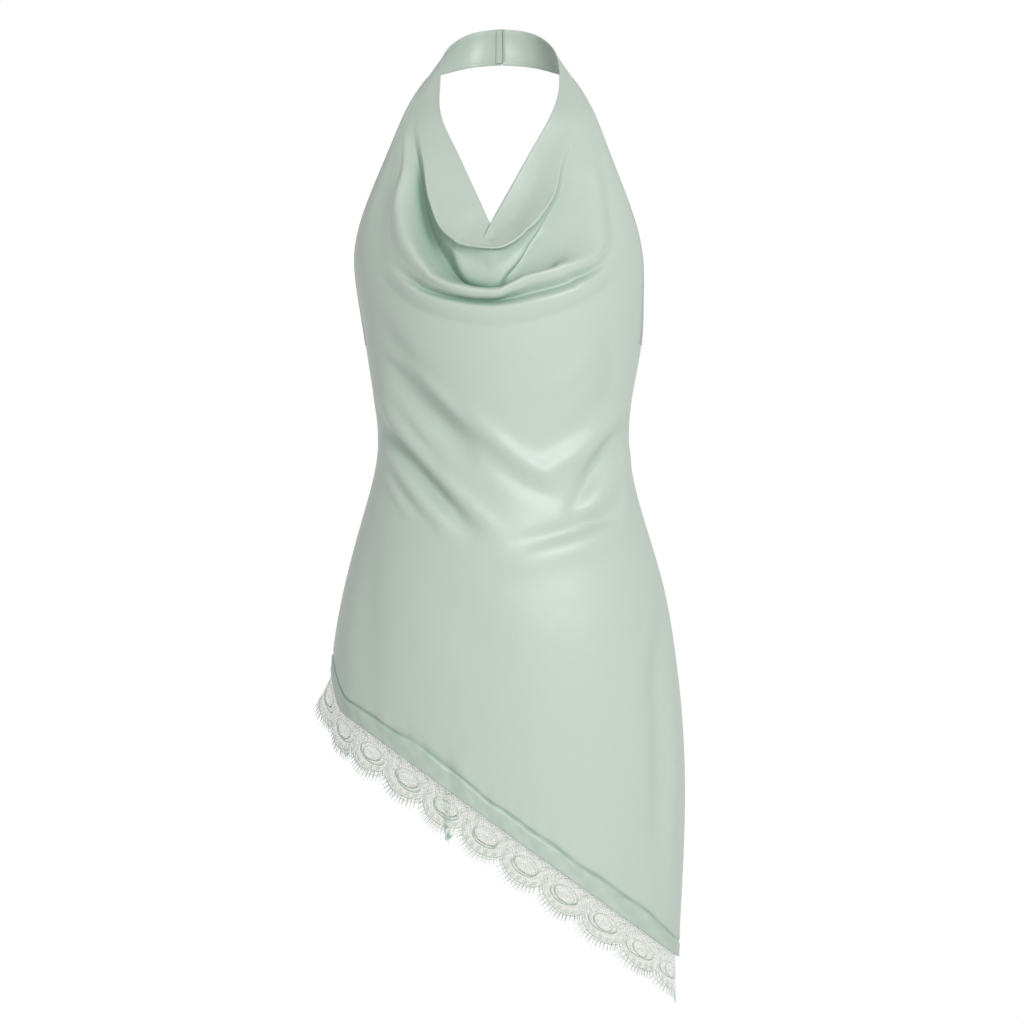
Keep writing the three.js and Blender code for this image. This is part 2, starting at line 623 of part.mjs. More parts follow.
function lacePoint(frame, turn, drop) {
  const flare = LACE.flare + (LACE.leftFlare - LACE.flare) * (1 - ease(-1, -0.7, turn));
  const inside = SATIN_WALL / 2 + LACE.inset + LACE_WALL / 2 + LACE.lean * max(-drop, 0);
  const away = flare * max(drop, 0) - inside;
  const { point, out, down } = frame;
  return point.map((value, axis) => value + down.getComponent(axis) * drop + out.getComponent(axis) * away);
}

// How far the lace's scalloped edge hangs below the satin, at each of its columns
const laceColumnCount = LACE.scallops * LACE_COLUMNS_A_SCALLOP;
const laceEdge = Array.from({ length: laceColumnCount + 1 }, (_, i) => {
  const part = (i % LACE_COLUMNS_A_SCALLOP) / LACE_COLUMNS_A_SCALLOP;
  const tail = LACE_TAIL.extra * ease(1 - LACE_TAIL.reach, 1, i / laceColumnCount);
  return LACE.valley + (LACE.tip - LACE.valley) * sin(PI * part) ** 0.55 + tail;
});
const laceEdgeAt = (share) => {
  const at = share * laceColumnCount;
  const i = min(floor(at), laceColumnCount - 1);
  return mix(laceEdge[i], laceEdge[i + 1], at - i);
};

// Lace rows run from the heading under the hem to the scalloped edge; two cells in each scallop are open.
const OPEN_COLUMNS = [2, 5];
const OPEN_ROW = 2;
for (const isBack of [false, true]) {
  const turnAt = hemTurns(isBack);
  const columns = Array.from({ length: laceColumnCount + 1 }, (_, i) => {
    const share = i / laceColumnCount;
    const turn = turnAt(share);
    const frame = hemFrame(turn, isBack);
    const drops = [-LACE.heading, 1, 6, 15, laceEdge[i]];
    return drops.map((drop) => lacePoint(frame, turn, drop));
  });
  const rows = columns[0].length;
  const triangles = [];
  for (let c = 0; c < laceColumnCount; c++) {
    for (let r = 0; r + 1 < rows; r++) {
      if (r === OPEN_ROW && OPEN_COLUMNS.includes(c % LACE_COLUMNS_A_SCALLOP)) continue;
      const corner = c * rows + r;
      const faces = [[corner, corner + 1, corner + rows], [corner + 1, corner + rows + 1, corner + rows]];
      triangles.push(...(isBack ? faces.map(([a, b, d]) => [a, d, b]) : faces));
    }
  }
  const laceName = isBack ? 'lace_back' : 'lace_front';
  addPiece(laceName, thicken(columns.flat(), triangles, HALF_LACE, HALF_LACE), materials.lace);

  // The eyelashes stand on a narrow strip that follows the scallops just below the lace
  const points = [];
  const lashes = [];
  for (let i = 0; i < EYELASH.count; i++) {
    const middle = (i + 0.5) / EYELASH.count;
    const halfShare = EYELASH.width / 2 / 480;
    const starts = [middle - halfShare, middle + halfShare].map((share) => {
      const turn = turnAt(share);
      const frame = hemFrame(turn, isBack);
      const edge = laceEdgeAt(share) + EYELASH.gap;
      points.push(lacePoint(frame, turn, edge), lacePoint(frame, turn, edge + EYELASH.root));
      return points.length - 2;
    });
    const turn = turnAt(middle);
    points.push(lacePoint(hemFrame(turn, isBack), turn, laceEdgeAt(middle) + EYELASH.gap + EYELASH.length));
    lashes.push([...starts, points.length - 1]);
  }
  const faces = [];
  lashes.forEach(([near, far, tip], i) => {
    faces.push([near, near + 1, far], [near + 1, far + 1, far], [near + 1, tip, far + 1]);
    if (i + 1 < lashes.length) {
      const next = lashes[i + 1][0];
      faces.push([far, far + 1, next], [far + 1, next + 1, next]);
    }
  });
  const looking = isBack ? faces.map(([a, b, c]) => [a, c, b]) : faces;
  const fringeName = isBack ? 'eyelash_back' : 'eyelash_front';
  addPiece(fringeName, thicken(points, looking, HALF_LACE, HALF_LACE), materials.lace);
}

// The seam allowance pressed to one side inside the strap at the nape
const napeColumns = [NAPE_SEAM.from, (NAPE_SEAM.from + NAPE_SEAM.to) / 2, NAPE_SEAM.to].map((x) => {
  const place = -(1 - (abs(x) / 27) * 0.07);
  return [0.15, 4, 8, 11, 13.85].map((row) => ({ row, point: panelPoint(place, row) }));
});
const napeSeam = stitchColumns(napeColumns.reverse());
const napeInside = SATIN_WALL / 2 + LAYER_GAP;
const napeWall = thicken(napeSeam.points, napeSeam.triangles, -napeInside, napeInside + NAPE_SEAM.wall);
addPiece('nape_seam', napeWall, materials.satin);

export default top;
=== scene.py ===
"""A satin halter neck top with a draped cowl, an open back and a slanting hem edged in eyelash lace.

Lengths in the tables are in millimetres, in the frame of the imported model: +X to the right as seen from the
front, +Y to the back, +Z up, with the origin on the strap at the nape.
"""
import math

import bpy
import numpy as np
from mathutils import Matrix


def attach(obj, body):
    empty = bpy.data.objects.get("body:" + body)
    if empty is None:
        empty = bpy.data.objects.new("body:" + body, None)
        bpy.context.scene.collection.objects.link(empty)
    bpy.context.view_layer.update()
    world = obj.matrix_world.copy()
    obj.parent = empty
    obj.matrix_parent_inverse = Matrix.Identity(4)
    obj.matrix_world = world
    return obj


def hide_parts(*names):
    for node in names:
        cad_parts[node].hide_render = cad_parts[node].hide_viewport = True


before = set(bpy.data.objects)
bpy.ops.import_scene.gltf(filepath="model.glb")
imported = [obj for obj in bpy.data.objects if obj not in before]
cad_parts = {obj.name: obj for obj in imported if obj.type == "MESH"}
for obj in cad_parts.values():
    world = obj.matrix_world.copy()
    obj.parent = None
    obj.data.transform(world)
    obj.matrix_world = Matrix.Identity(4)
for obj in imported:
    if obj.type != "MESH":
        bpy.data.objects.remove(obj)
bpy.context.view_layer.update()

MM = 0.001

# The camera and the room.

IMAGE_PX = 1024
MM_A_PIXEL = 1.0
ORIGIN_PX = (502, 45)
CAMERA_AWAY = 24000.0
SUBJECT_DEPTH = -120.0


def camera():
    """A long lens straight in front, so that one pixel of the picture is MM_A_PIXEL at the cloth's depth."""
    data = bpy.data.cameras.new("camera")
    data.sensor_width = 36.0
    data.lens = 36.0 * (CAMERA_AWAY + SUBJECT_DEPTH) / (IMAGE_PX * MM_A_PIXEL)
    data.clip_end = 100.0
    cam = bpy.data.objects.new("camera", data)
    middle = IMAGE_PX / 2
    cam.location = ((middle - ORIGIN_PX[0]) * MM, -CAMERA_AWAY * MM, (ORIGIN_PX[1] - middle) * MM)
    cam.rotation_euler = (math.radians(90), 0, 0)
    bpy.context.scene.collection.objects.link(cam)
    bpy.context.scene.camera = cam


def light(name, place, aim, size, watts):
    """A square soft box at place, turned to face aim."""
    data = bpy.data.lights.new(name, "AREA")
    data.size = size
    data.energy = watts
    lamp = bpy.data.objects.new(name, data)
    away = np.array(place) - np.array(aim)
    lamp.location = place
    tilt = math.acos(away[2] / np.linalg.norm(away))
    lamp.rotation_euler = (tilt, 0, math.atan2(away[1], away[0]) + math.pi / 2)
    bpy.context.scene.collection.objects.link(lamp)


# Curves.

def smooth_curve(xs, ys):
    """A natural cubic spline: each span's ends keep the second slopes that make the whole curve bend evenly."""
    xs, ys = np.asarray(xs, float), np.asarray(ys, float)
    wide = np.diff(xs)
    system = np.eye(len(xs))
    target = np.zeros(len(xs))
    inner = np.arange(1, len(xs) - 1)
    system[inner, inner - 1] = wide[:-1]
    system[inner, inner] = 2 * (wide[:-1] + wide[1:])
    system[inner, inner + 1] = wide[1:]
    target[inner] = 6 * (np.diff(ys)[1:] / wide[1:] - np.diff(ys)[:-1] / wide[:-1])
    bend = np.linalg.solve(system, target)

    def at(x):
        i = np.clip(np.searchsorted(xs, x) - 1, 0, len(xs) - 2)
        a = (xs[i + 1] - x) / wide[i]
        b = 1 - a
        sag = ((a ** 3 - a) * bend[i] + (b ** 3 - b) * bend[i + 1]) * wide[i] ** 2 / 6
        return a * ys[i] + b * ys[i + 1] + sag
    return at


def steady_curve(xs, ys):
    """A cubic through the points with harmonic-mean slopes, so that it never overshoots them."""
    xs, ys = np.asarray(xs, float), np.asarray(ys, float)
    step = np.diff(ys) / np.diff(xs)
    both = step[:-1] * step[1:]
    total = np.where(step[:-1] + step[1:] == 0, 1, step[:-1] + step[1:])
    slope = np.concatenate([step[:1], np.where(both > 0, 2 * both / total, 0), step[-1:]])

    def at(x):
        i = np.clip(np.searchsorted(xs, x) - 1, 0, len(xs) - 2)
        wide = xs[i + 1] - xs[i]
        t = np.clip((x - xs[i]) / wide, 0, 1)
        rest = 1 - t
        return (rest ** 2 * ((1 + 2 * t) * ys[i] + t * wide * slope[i])
                + t ** 2 * ((3 - 2 * t) * ys[i + 1] - rest * wide * slope[i + 1]))
    return at


def mix(a, b, share):
    return a + (b - a) * share


def ease(start, end, value):
    """0 before start and 1 after end, with a smooth step between."""
    share = np.clip((value - start) / (end - start), 0, 1)
    return share * share * (3 - 2 * share)


# The body form.

SEAM_GAP = 0.4
SATIN_WALL = 1.2
CLOTH_SHOWN = 1.0

# level, left outline, right outline, depth of the side seam, centre front, centre back
LEVELS = np.array([
    (-1010, -177, 172, -77, -166, 28),
    (-915, -177, 176, -77, -170, 31),
    (-705, -174, 182, -76, -180, 41),
    (-600, -168, 172, -77, -184, 40),
    (-540, -157, 161, -79, -181, 28),
    (-465, -137, 139, -82, -172, 4),
    (-405, -124, 127, -84, -169, -8),
    (-345, -129, 131, -84, -179, 2),
    (-300, -136, 139, -86, -185, 10),
    (-255, -143, 141, -92, -184, 12),
    (-210, -147, 140, -99, -173, 12),
    (-165, -137, 129, -102, -153, 12),
    (-120, -119, 112, -97, -133, 12),
    (-75, -100, 95, -86, -113, 12),
    (-50, -88, 86, -78, -102, 12),
], float)
BUST_X, BUST_Z, BUST_WIDE, BUST_TALL, BUST_RISE = 80, -232, 50, 52, 8
left_at, right_at, side_at, front_at, back_at = (smooth_curve(LEVELS[:, 0], LEVELS[:, k]) for k in range(1, 6))


def middle_at(z):
    return (left_at(z) + right_at(z)) / 2


def half_at(z):
    return (right_at(z) - left_at(z)) / 2


def front_depth(x, z):
    """Half an ellipse across the front of each level, with a soft bell added at each side of the bust."""
    across = np.clip((x - middle_at(z)) / half_at(z), -1, 1)
    swell = sum(np.exp(-((x - c) / BUST_WIDE) ** 2 - ((z - BUST_Z) / BUST_TALL) ** 2)
                for c in (-BUST_X, BUST_X))
    bow = np.sqrt(1 - across ** 2)
    return side_at(z) + (front_at(z) - side_at(z)) * bow - BUST_RISE * bow * swell


def body_point(turn, z, is_back):
    """A point of the body form. turn goes from -1 at the left side seam to 1 at the right, round the ellipse."""
    turn, z = np.broadcast_arrays(turn, z)
    angle = turn * np.pi / 2
    x = middle_at(z) + half_at(z) * np.sin(angle)
    if is_back:
        y = side_at(z) + (back_at(z) - side_at(z)) * np.clip(np.cos(angle), 0, 1) ** 0.85 + SEAM_GAP / 2
    else:
        y = front_depth(x, z) - SEAM_GAP / 2
    return np.stack([x, y, z], -1)


HEM_Z, HEM_FALL, HEM_LIFT, HEM_LIFT_FROM = -784, 0.727, 36, -0.72


def hem_at(turn):
    """The level of the satin's slanting edge at a turn, found by going back and forth between x and z. It rises
    a little more towards the left side seam."""
    turn = np.asarray(turn, float)
    lift = HEM_LIFT * (1 - ease(-1, HEM_LIFT_FROM, turn))
    z = np.full_like(turn, HEM_Z)
    for _ in range(12):
        z = mix(z, HEM_Z + lift - HEM_FALL * (middle_at(z) + half_at(z) * np.sin(turn * np.pi / 2)), 0.7)
    return z


# The front panel.

# along, centre, then half width, y and z of the strap's upper edge and of its lower edge
STRAP = np.array([
    (0.70, -2.5, 59.5, -76, -42, 89, -74, -57),
    (0.78, -2, 57.5, -47, -14, 74, -49, -35),
    (0.86, -1, 46.5, -19, 4, 55, -22, -26),
    (0.93, 0, 27, -1, 14.5, 30, -3, -19.5),
    (1.00, 0, 0.0, -0.6, 18, 0.0, -2.2, -17),
], float)
STRAP_CAMBER = 2.5
NECK_X, NECK_Z, LEFT_SLOPE, RIGHT_SLOPE = -12, -179, 0.452, 0.558

# Lines across the panel: along, height of the inner end above the V, and levels of the left and right outer
# ends.
CROSSINGS = np.array([
    (0.32, 12, -300, -300),
    (0.39, 19, -232, -225),
    (0.46, 36, -178, -178),
    (0.54, 65, -130, -126),
    (0.62, 106, -84, -80),
], float)
COLLAR, UNDERARM = 0.62, 0.32
# Between the underarms: where the line ends on the yoke line, the place whose folds it has, and its height
# at the V.
FAN = np.array([(0, 0, 0), (0.04, 0.047, 0.4), (0.14, 0.165, 4.5), (0.235, 0.215, 6.5), (0.33, 0.25, 8),
                (0.6, 0.292, 9.6), (0.8, 0.313, 10.5), (0.9, 0.3183, 11.2), (1, 0.32, 12)])
YOKE_SIDE, YOKE_DIP = -300, 34
fan_along, fan_up = steady_curve(FAN[:, 0], FAN[:, 1]), steady_curve(FAN[:, 0], FAN[:, 2])

PLACES = (-0.62, -0.54, -0.46, -0.39, -0.32, -0.24, 0, 0.24, 0.32, 0.39, 0.46, 0.54, 0.62)
# the cowl's folds from the neckline out: how far from it (reach), and how proud of the body (rise), at PLACES
REACH = np.array([
    (0, 0, 0, 0, 0, 0, 0, 0, 0, 0, 0, 0, 0),                                # neckline
    (12, 18, 22, 22, 20, 16, 13, 15, 17, 19, 20, 16, 13),                   # facing
    (20, 33, 41, 43.5, 39, 33, 26, 31.5, 32.5, 35.5, 39, 30.5, 20),         # roll top
    (23, 36.5, 45.5, 48, 44.5, 37, 29.5, 36, 37, 41.5, 43.5, 34.5, 23),     # roll
    (24.5, 37.8, 46.4, 48.2, 45.2, 37.7, 30, 36.8, 38, 42.7, 44.8, 36, 25), # roll under
    (25.5, 38.8, 47, 49, 47.5, 45, 43, 42, 40.5, 43.8, 45.6, 37, 26),       # flat
    (26.5, 40, 48, 50.5, 50, 64, 60, 51, 44, 45.2, 46.6, 38, 27),           # flat edge
    (29, 43, 54, 58, 59, 71, 67.5, 53.5, 47.5, 49, 49, 39.5, 29),           # hollow
    (32.5, 48, 63, 70, 73, 71.5, 65, 65, 75, 75, 66, 50, 31.5),             # crease
    (36, 56, 76, 82, 82, 75.5, 68.5, 69, 83, 104, 90, 66, 35),              # swag
    (38, 60, 84, 95, 89, 82, 74, 76, 91, 112, 98, 73, 38.5),                # swag under
    (39.5, 64, 90, 104, 98, 86, 77, 84.5, 101, 118, 103, 77, 40.5),         # groove
    (41, 68, 96, 112, 104, 93, 85, 94, 111, 125, 108, 81, 42.5),            # low swag
    (42.5, 72, 103, 122, 118, 110, 103, 112, 127, 136, 114, 85, 44.5),      # soft dip
], float)
RISE = np.array([
    (0, 0, 0, 0, 0, 0, 0, 0, 0, 0, 0, 0, 0),
    (0, 1, 2, 3, 2, 2, 2, 1.5, 1, 0, -1, 0, 0),
    (0, 3, 5, 7, 9, 10, 10, 10, 9, 7, 5, 3, 0),
    (0, 3.5, 6, 8.5, 12, 13, 13, 13, 12, 9, 6.5, 3.5, 0),
    (0, 2, 2.5, 3.5, 6, 6.5, 6.5, 6, 7, 5, 4, 2, 0),
    (0, 0, -1, -1, 1, -1, -2, 0, 2, 3, 2, 1, 0),
    (-0.25, -2, -5, -5, -2, -6, -5, -3.5, -1, 1, 1, 0.5, 0),
    (-0.75, -6, -11, -15, -16, -12, -9, -7, -5, -2, -1.5, -1, -0.25),
    (-0.25, -2, -2, -3, -4, 0, 3, -6, -3.5, -1, 0, 0.5, 0.25),
    (0.75, 5, 9, 12, 11, 11.5, 12, 10, 9, 6, 4, 3, 0.5),
    (0.5, 3, 6, 6, 7, 8, 9, 8, 7, 4, 2, 1.5, 0.25),
    (0.25, 2, 3, 3, 0, -1.5, -2, -1.5, -1, 1, 0, 0.5, 0),
    (0, 1, 1, 1, 6, 6, 6, 6, 6, 1, 0, 0, 0),
    (0, 0, 0, 0, 0, 0, 0, 0, 0, 0, 0, 0, 0),
], float)
LAST_FOLD = len(REACH) - 1
EDGE = LAST_FOLD + 1

# drag folds seen from the front: start, bend and end as x and z, half width, and rise above the cloth
DRAGS = np.array([
    (-124, -272, -104, -304, -70, -336, 9, -4),
    (-116, -318, -76, -364, -28, -404, 14, -7),
    (-123, -342, -90, -404, -8, -484, 9, 5),
    (-119, -384, -78, -430, -30, -486, 9, -6.5),
    (-117, -402, -92, -440, -52, -490, 9, 4),
    (100, -290, 112, -322, 104, -372, 12, -3),
    (124, -361, 82, -403, 34, -430, 12, 5),
    (124, -378, 98, -413, 70, -463, 8, -6),
    (124, -400, 110, -436, 84, -466, 9, 4),
    (112, -466, 76, -482, 16, -498, 9, -4),
    (126, -476, 83, -499, 8, -520, 13, 3),
    (153, -575, 158, -695, 153, -815, 10, -3.5),
], float)

# finer creases that only the look needs, in the same columns
CREASES = np.array([
    (-112, -316, -76, -362, -30, -402, 12, -2.6),
    (-117, -384, -78, -430, -32, -484, 8, -2.4),
    (-126, -300, -112, -322, -92, -340, 5, -1.8),
    (-100, -312, -74, -338, -30, -386, 7, 2.6),
    (-118, -336, -98, -364, -72, -398, 6, 2.2),
    (-108, -352, -84, -392, -62, -420, 7, -2.4),
    (-70, -380, -46, -402, -26, -418, 12, -2.4),
    (-125, -352, -114, -384, -96, -412, 5, -2.2),
    (-119, -424, -108, -446, -92, -472, 4, 2.0),
    (-112, -420, -96, -450, -66, -486, 5, -1.8),
    (96, -296, 70, -330, 26, -352, 9, 1.6),
    (112, -330, 88, -372, 44, -398, 14, -2.4),
    (-34, -368, 2, -402, 50, -434, 10, 4.2),
    (-20, -404, 14, -434, 62, -456, 9, -1.8),
    (-58, -706, -54, -724, -50, -740, 5, -2.2),
    (66, -468, 86, -473, 108, -475, 5, -2.0),
    (121, -394, 123, -440, 121, -484, 6, 2.4),
    (-131, -480, -135, -570, -133, -655, 13, -2.6),
    (143, -560, 138, -580, 129, -592, 5, -1.4),
    (162, -560, 160, -600, 150, -660, 8, -3.4),
    (156, -650, 160, -720, 158, -800, 9, -2.2),
    (170, -640, 171, -740, 168, -860, 6, 1.8),
    (-60, -540, -30, -590, 10, -620, 26, -1.2),
], float)

# the back's soft creases, in the same columns
BACK_CREASES = np.array([
    (-122, -352, -66, -390, -4, -408, 14, -3.6),
    (-124, -398, -74, -436, -12, -466, 12, 3.0),
    (116, -356, 66, -398, 12, -420, 13, 3.0),
    (122, -392, 84, -434, 32, -470, 10, -3.8),
    (112, -466, 54, -496, -6, -506, 12, -2.6),
    (-116, -476, -64, -502, -16, -512, 12, 2.2),
    (-128, -560, -130, -620, -122, -690, 12, -2.2),
    (146, -600, 148, -700, 140, -800, 11, -2.4),
], float)


def side_edges(side):
    """The neckline and the outer edge on one side, as smooth curves through their crossings and the strap."""
    slope = LEFT_SLOPE if side < 0 else RIGHT_SLOPE
    outline = left_at if side < 0 else right_at
    level = CROSSINGS[:, 2 if side < 0 else 3]
    up = CROSSINGS[:, 1]
    inner = on_front(NECK_X + side * up * slope, NECK_Z + up)
    outer = on_front(outline(level), level)
    strap_inner = np.stack([STRAP[:, 1] + side * STRAP[:, 2], STRAP[:, 3], STRAP[:, 4]], -1)
    strap_outer = np.stack([STRAP[:, 1] + side * STRAP[:, 5], STRAP[:, 6], STRAP[:, 7]], -1)
    along = np.concatenate([CROSSINGS[:, 0], STRAP[:, 0]])
    curves = [[smooth_curve(along, np.concatenate([low, high])[:, k]) for k in range(3)]
              for low, high in ((inner, strap_inner), (outer, strap_outer))]
    return {
        "slope": slope, "outline": outline, "inner": curves[0], "outer": curves[1],
        "up": steady_curve(CROSSINGS[:, 0], up), "down": steady_curve(CROSSINGS[:, 0], level),
    }


def on_front(x, z):
    return np.stack([x, front_depth(x, z) - SEAM_GAP / 2, z], -1)


EDGES = {side: side_edges(side) for side in (-1, 1)}


def yoke_at(turn):
    return YOKE_SIDE - YOKE_DIP * np.cos(turn * np.pi / 2) ** 2


def crossing(place):
    """The inner and outer end of the line across the panel at each place: on the yoke line between the
    underarms, and on the armhole edge beyond them."""
    place = np.asarray(place, float)
    inner = np.zeros(place.shape + (3,))
    outer = np.zeros_like(inner)
    for side, edge in EDGES.items():
        here = (place < 0) == (side < 0)
        along = np.abs(place[here])
        turn = np.clip(along / UNDERARM, 0, 1)
        low = along <= UNDERARM
        up = np.where(low, fan_up(turn), edge["up"](along))
        inner_body = on_front(NECK_X + side * up * edge["slope"], NECK_Z + up)
        level = edge["down"](along)
        outer_side = on_front(edge["outline"](level), level)
        outer_yoke = body_point(side * turn, yoke_at(turn), False)
        outer_body = np.where(low[:, None], outer_yoke, outer_side)
        share = np.where(along >= COLLAR, 1, ease(0.5, COLLAR, along))[:, None]
        free_inner = np.stack([curve(along) for curve in edge["inner"]], -1)
        free_outer = np.stack([curve(along) for curve in edge["outer"]], -1)
        inner[here] = mix(inner_body, free_inner, share)
        outer[here] = mix(outer_body, free_outer, share)
    return inner, outer


def line_length(place, inner, outer):
    """The length of each crossing: measured flat from the front on the body, and in space on the strap."""
    way = outer - inner
    flat = np.hypot(way[..., 0], way[..., 2])
    return np.where(np.abs(place) < COLLAR, flat, np.linalg.norm(way, axis=-1))


def plain_point(place, reach, ends=None):
    """The panel with no folds: the body form below the collar, and a slightly arched band round the neck."""
    inner, outer = crossing(place) if ends is None else ends
    length = line_length(place, inner, outer)
    along = np.abs(place)[:, None]
    share = reach / length[:, None]
    flat = mix(inner[:, None], outer[:, None], share[..., None])
    arch = 4 * share * (1 - share) * STRAP_CAMBER
    angle = ease(0.66, 1, along) * np.pi / 2
    around = np.where(place < 0, -1, 1)[:, None]
    bulge = arch * (2 * ease(0.7, 0.9, along) - 1)
    band = flat + np.stack([around * arch * np.cos(angle) * 0.6, bulge, 0 * arch], -1)
    body = on_front(flat[..., 0], flat[..., 2])
    wrap = ease(0.56, 0.68, along)[..., None]
    return mix(body, band, wrap)


def folds_at(place, length, held_length):
    """Reach and rise of every fold at each place. On the strap they keep their share of its width and lie
    flat."""
    between = np.sign(place) * fan_along(np.clip(np.abs(place) / UNDERARM, 0, 1))
    held = np.where(np.abs(place) < UNDERARM, between, np.clip(place, -COLLAR, COLLAR))
    scale = np.where(np.abs(place) > COLLAR, length / held_length, 1)
    fade = 1 - ease(0.5, 0.67, np.abs(place))
    reach = np.stack([steady_curve(PLACES, row)(held) * scale for row in REACH], -1)
    rise = np.stack([steady_curve(PLACES, row)(held) * fade for row in RISE], -1)
    return reach, rise


def drags_at(x, z):
    """All the drag folds, fading out towards the side seams, the finer ones from further in."""
    turn = np.abs(np.arcsin(np.clip((x - middle_at(z)) / half_at(z), -1, 1)) * 2 / np.pi)
    large = drag_rise(x, z, DRAGS) * (1 - ease(0.9, 1, turn))
    return large + drag_rise(x, z, CREASES) * crease_fade(turn)


def crease_fade(turn):
    """1 over the middle of a panel, and down to 0 next to its side seams."""
    return 1 - ease(0.8, 0.97, np.abs(turn))


def drag_rise(x, z, drags, steps=60):
    """Each drag fold is a bent line with a bell-shaped section that fades out at both of its ends."""
    total = np.zeros_like(x)
    t = np.linspace(0, 1, steps + 1)
    for x1, z1, x2, z2, x3, z3, wide, rise in drags:
        px = (1 - t) ** 2 * x1 + 2 * t * (1 - t) * (2 * x2 - (x1 + x3) / 2) + t * t * x3
        pz = (1 - t) ** 2 * z1 + 2 * t * (1 - t) * (2 * z2 - (z1 + z3) / 2) + t * t * z3
        near = np.full(x.shape, np.inf)
        at = np.zeros_like(x)
        for k in range(steps):
            dx, dz = px[k + 1] - px[k], pz[k + 1] - pz[k]
            share = np.clip(((x - px[k]) * dx + (z - pz[k]) * dz) / (dx * dx + dz * dz), 0, 1)
            away = np.hypot(x - px[k] - share * dx, z - pz[k] - share * dz)
            closer = away < near
            near = np.where(closer, away, near)
            at = np.where(closer, t[k] + share / steps, at)
        total += rise * np.exp(-(near / wide) ** 2) * np.sin(np.pi * np.clip(at * 0.94 + 0.03, 0, 1)) ** 0.6
    return total


def fold_rows(values, row):
    """Values between the folds, along a curve that passes through each fold's own."""
    i = np.clip(np.floor(row).astype(int), 0, LAST_FOLD - 1)
    t = row - i
    a, b = values[:, np.maximum(i - 1, 0)], values[:, i]
    c, d = values[:, i + 1], values[:, np.minimum(i + 2, LAST_FOLD)]
    return b + 0.5 * t * (c - a + t * (2 * a - 5 * b + 4 * c - d + t * (3 * (b - c) + d - a)))


def panel(place, row, extra=None):
    """The front panel as far as the armhole edges and the yoke line. place runs along the neckline, from -1 at
    the nape through 0 at the point of the V to 1, and row counts the folds from the neckline out, up to EDGE.
    The folds stand off the plain form along its normal, and extra(place, reach, length, point) may raise it
    further."""
    ends = crossing(place)
    length = line_length(place, *ends)
    held = np.sign(place) * np.minimum(np.abs(place), COLLAR)
    held_length = line_length(held, *crossing(held))
    reach, rise = folds_at(place, length, held_length)
    folded = np.minimum(row, LAST_FOLD)
    below = np.clip(row - LAST_FOLD, 0, 1)[None]
    at = mix(fold_rows(reach, folded), length[:, None], below)
    up = fold_rows(rise, folded) * (1 - below)
    base = plain_point(place, at, ends)
    back = np.where(at > length[:, None] - 1, -1.0, 1.0)
    toward = np.where(place < 0, 0.002, -0.002)
    moved = place + toward
    moved_ends = crossing(moved)
    along_way = (plain_point(moved, at, moved_ends) - base) * np.sign(toward)[:, None, None]
    across_way = (plain_point(place, at + 0.5 * back, ends) - base) * back[..., None]
    out = np.cross(across_way, along_way)
    out /= np.linalg.norm(out, axis=-1, keepdims=True)
    on_body = 1 - ease(0.45, 0.56, np.abs(place))[:, None]
    up = up + on_body * drags_at(base[..., 0], base[..., 2])
    if extra is not None:
        up = up + extra(place[:, None], at, length[:, None], base)
    return base + out * up[..., None], out, at


def skirt(turn, share):
    """The front below the yoke line, where share runs from 0 there to 1 at the hem: the body form with the drag
    folds and the sewn hem raised along its normal."""
    turn = turn[:, None]
    level = mix(yoke_at(turn), hem_at(turn), share[None])
    base = body_point(turn, level, False)
    inside = np.clip(turn, -0.995, 0.995)
    along = body_point(inside + 0.004, level, False) - body_point(inside - 0.004, level, False)
    out = np.cross(along, body_point(inside, level + 1, False) - body_point(inside, level, False))
    out /= np.linalg.norm(out, axis=-1, keepdims=True)
    up = drags_at(base[..., 0], level) + sewn_hem(turn, level)
    return base + out * up[..., None]


# Meshes.

def grid_faces(columns, rows):
    """Quads between neighbouring columns of a grid whose point (c, r) is number c * rows + r."""
    c, r = np.meshgrid(np.arange(columns - 1), np.arange(rows - 1), indexing="ij")
    near, far = c * rows + r, (c + 1) * rows + r
    return np.stack([near, near + 1, far + 1, far], -1).reshape(-1, 4)


def add_mesh(name, points, faces, material, attributes=None, uv=None, wall=0.0, offset=0.0, sharp=False):
    """An object at the origin from points in millimetres and faces, with point attributes and a UV map."""
    mesh = bpy.data.meshes.new(name)
    points = np.asarray(points, float).reshape(-1, 3) * MM
    faces = np.asarray(faces)
    mesh.vertices.add(len(points))
    mesh.vertices.foreach_set("co", points.ravel())
    size = faces.shape[1]
    mesh.loops.add(faces.size)
    mesh.loops.foreach_set("vertex_index", faces.ravel().astype(np.int32))
    mesh.polygons.add(len(faces))
    mesh.polygons.foreach_set("loop_start", np.arange(0, faces.size, size, dtype=np.int32))
    if uv is not None:
        layer = mesh.uv_layers.new(name="cloth")
        layer.data.foreach_set("uv", np.asarray(uv, float).reshape(-1, 2)[faces.ravel()].ravel())
    for key, values in (attributes or {}).items():
        layer = mesh.attributes.new(key, "FLOAT", "POINT")
        layer.data.foreach_set("value", np.asarray(values, np.float32).ravel())
    mesh.update(calc_edges=True)
    mesh.validate()
    mesh.polygons.foreach_set("use_smooth", np.full(len(mesh.polygons), not sharp))
    mesh.materials.append(material)
    piece = bpy.data.objects.new(name, mesh)
    bpy.context.scene.collection.objects.link(piece)
    if wall:
        solid = piece.modifiers.new("wall", "SOLIDIFY")
        solid.thickness = wall * MM
        solid.offset = offset
    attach(piece, "root")
    return piece


# Materials.

def linear(hex_colour):
    """An sRGB hex colour as linear RGBA."""
    values = [int(hex_colour[i:i + 2], 16) / 255 for i in (1, 3, 5)]
    return tuple(v / 12.92 if v <= 0.04045 else ((v + 0.055) / 1.055) ** 2.4 for v in values) + (1.0,)


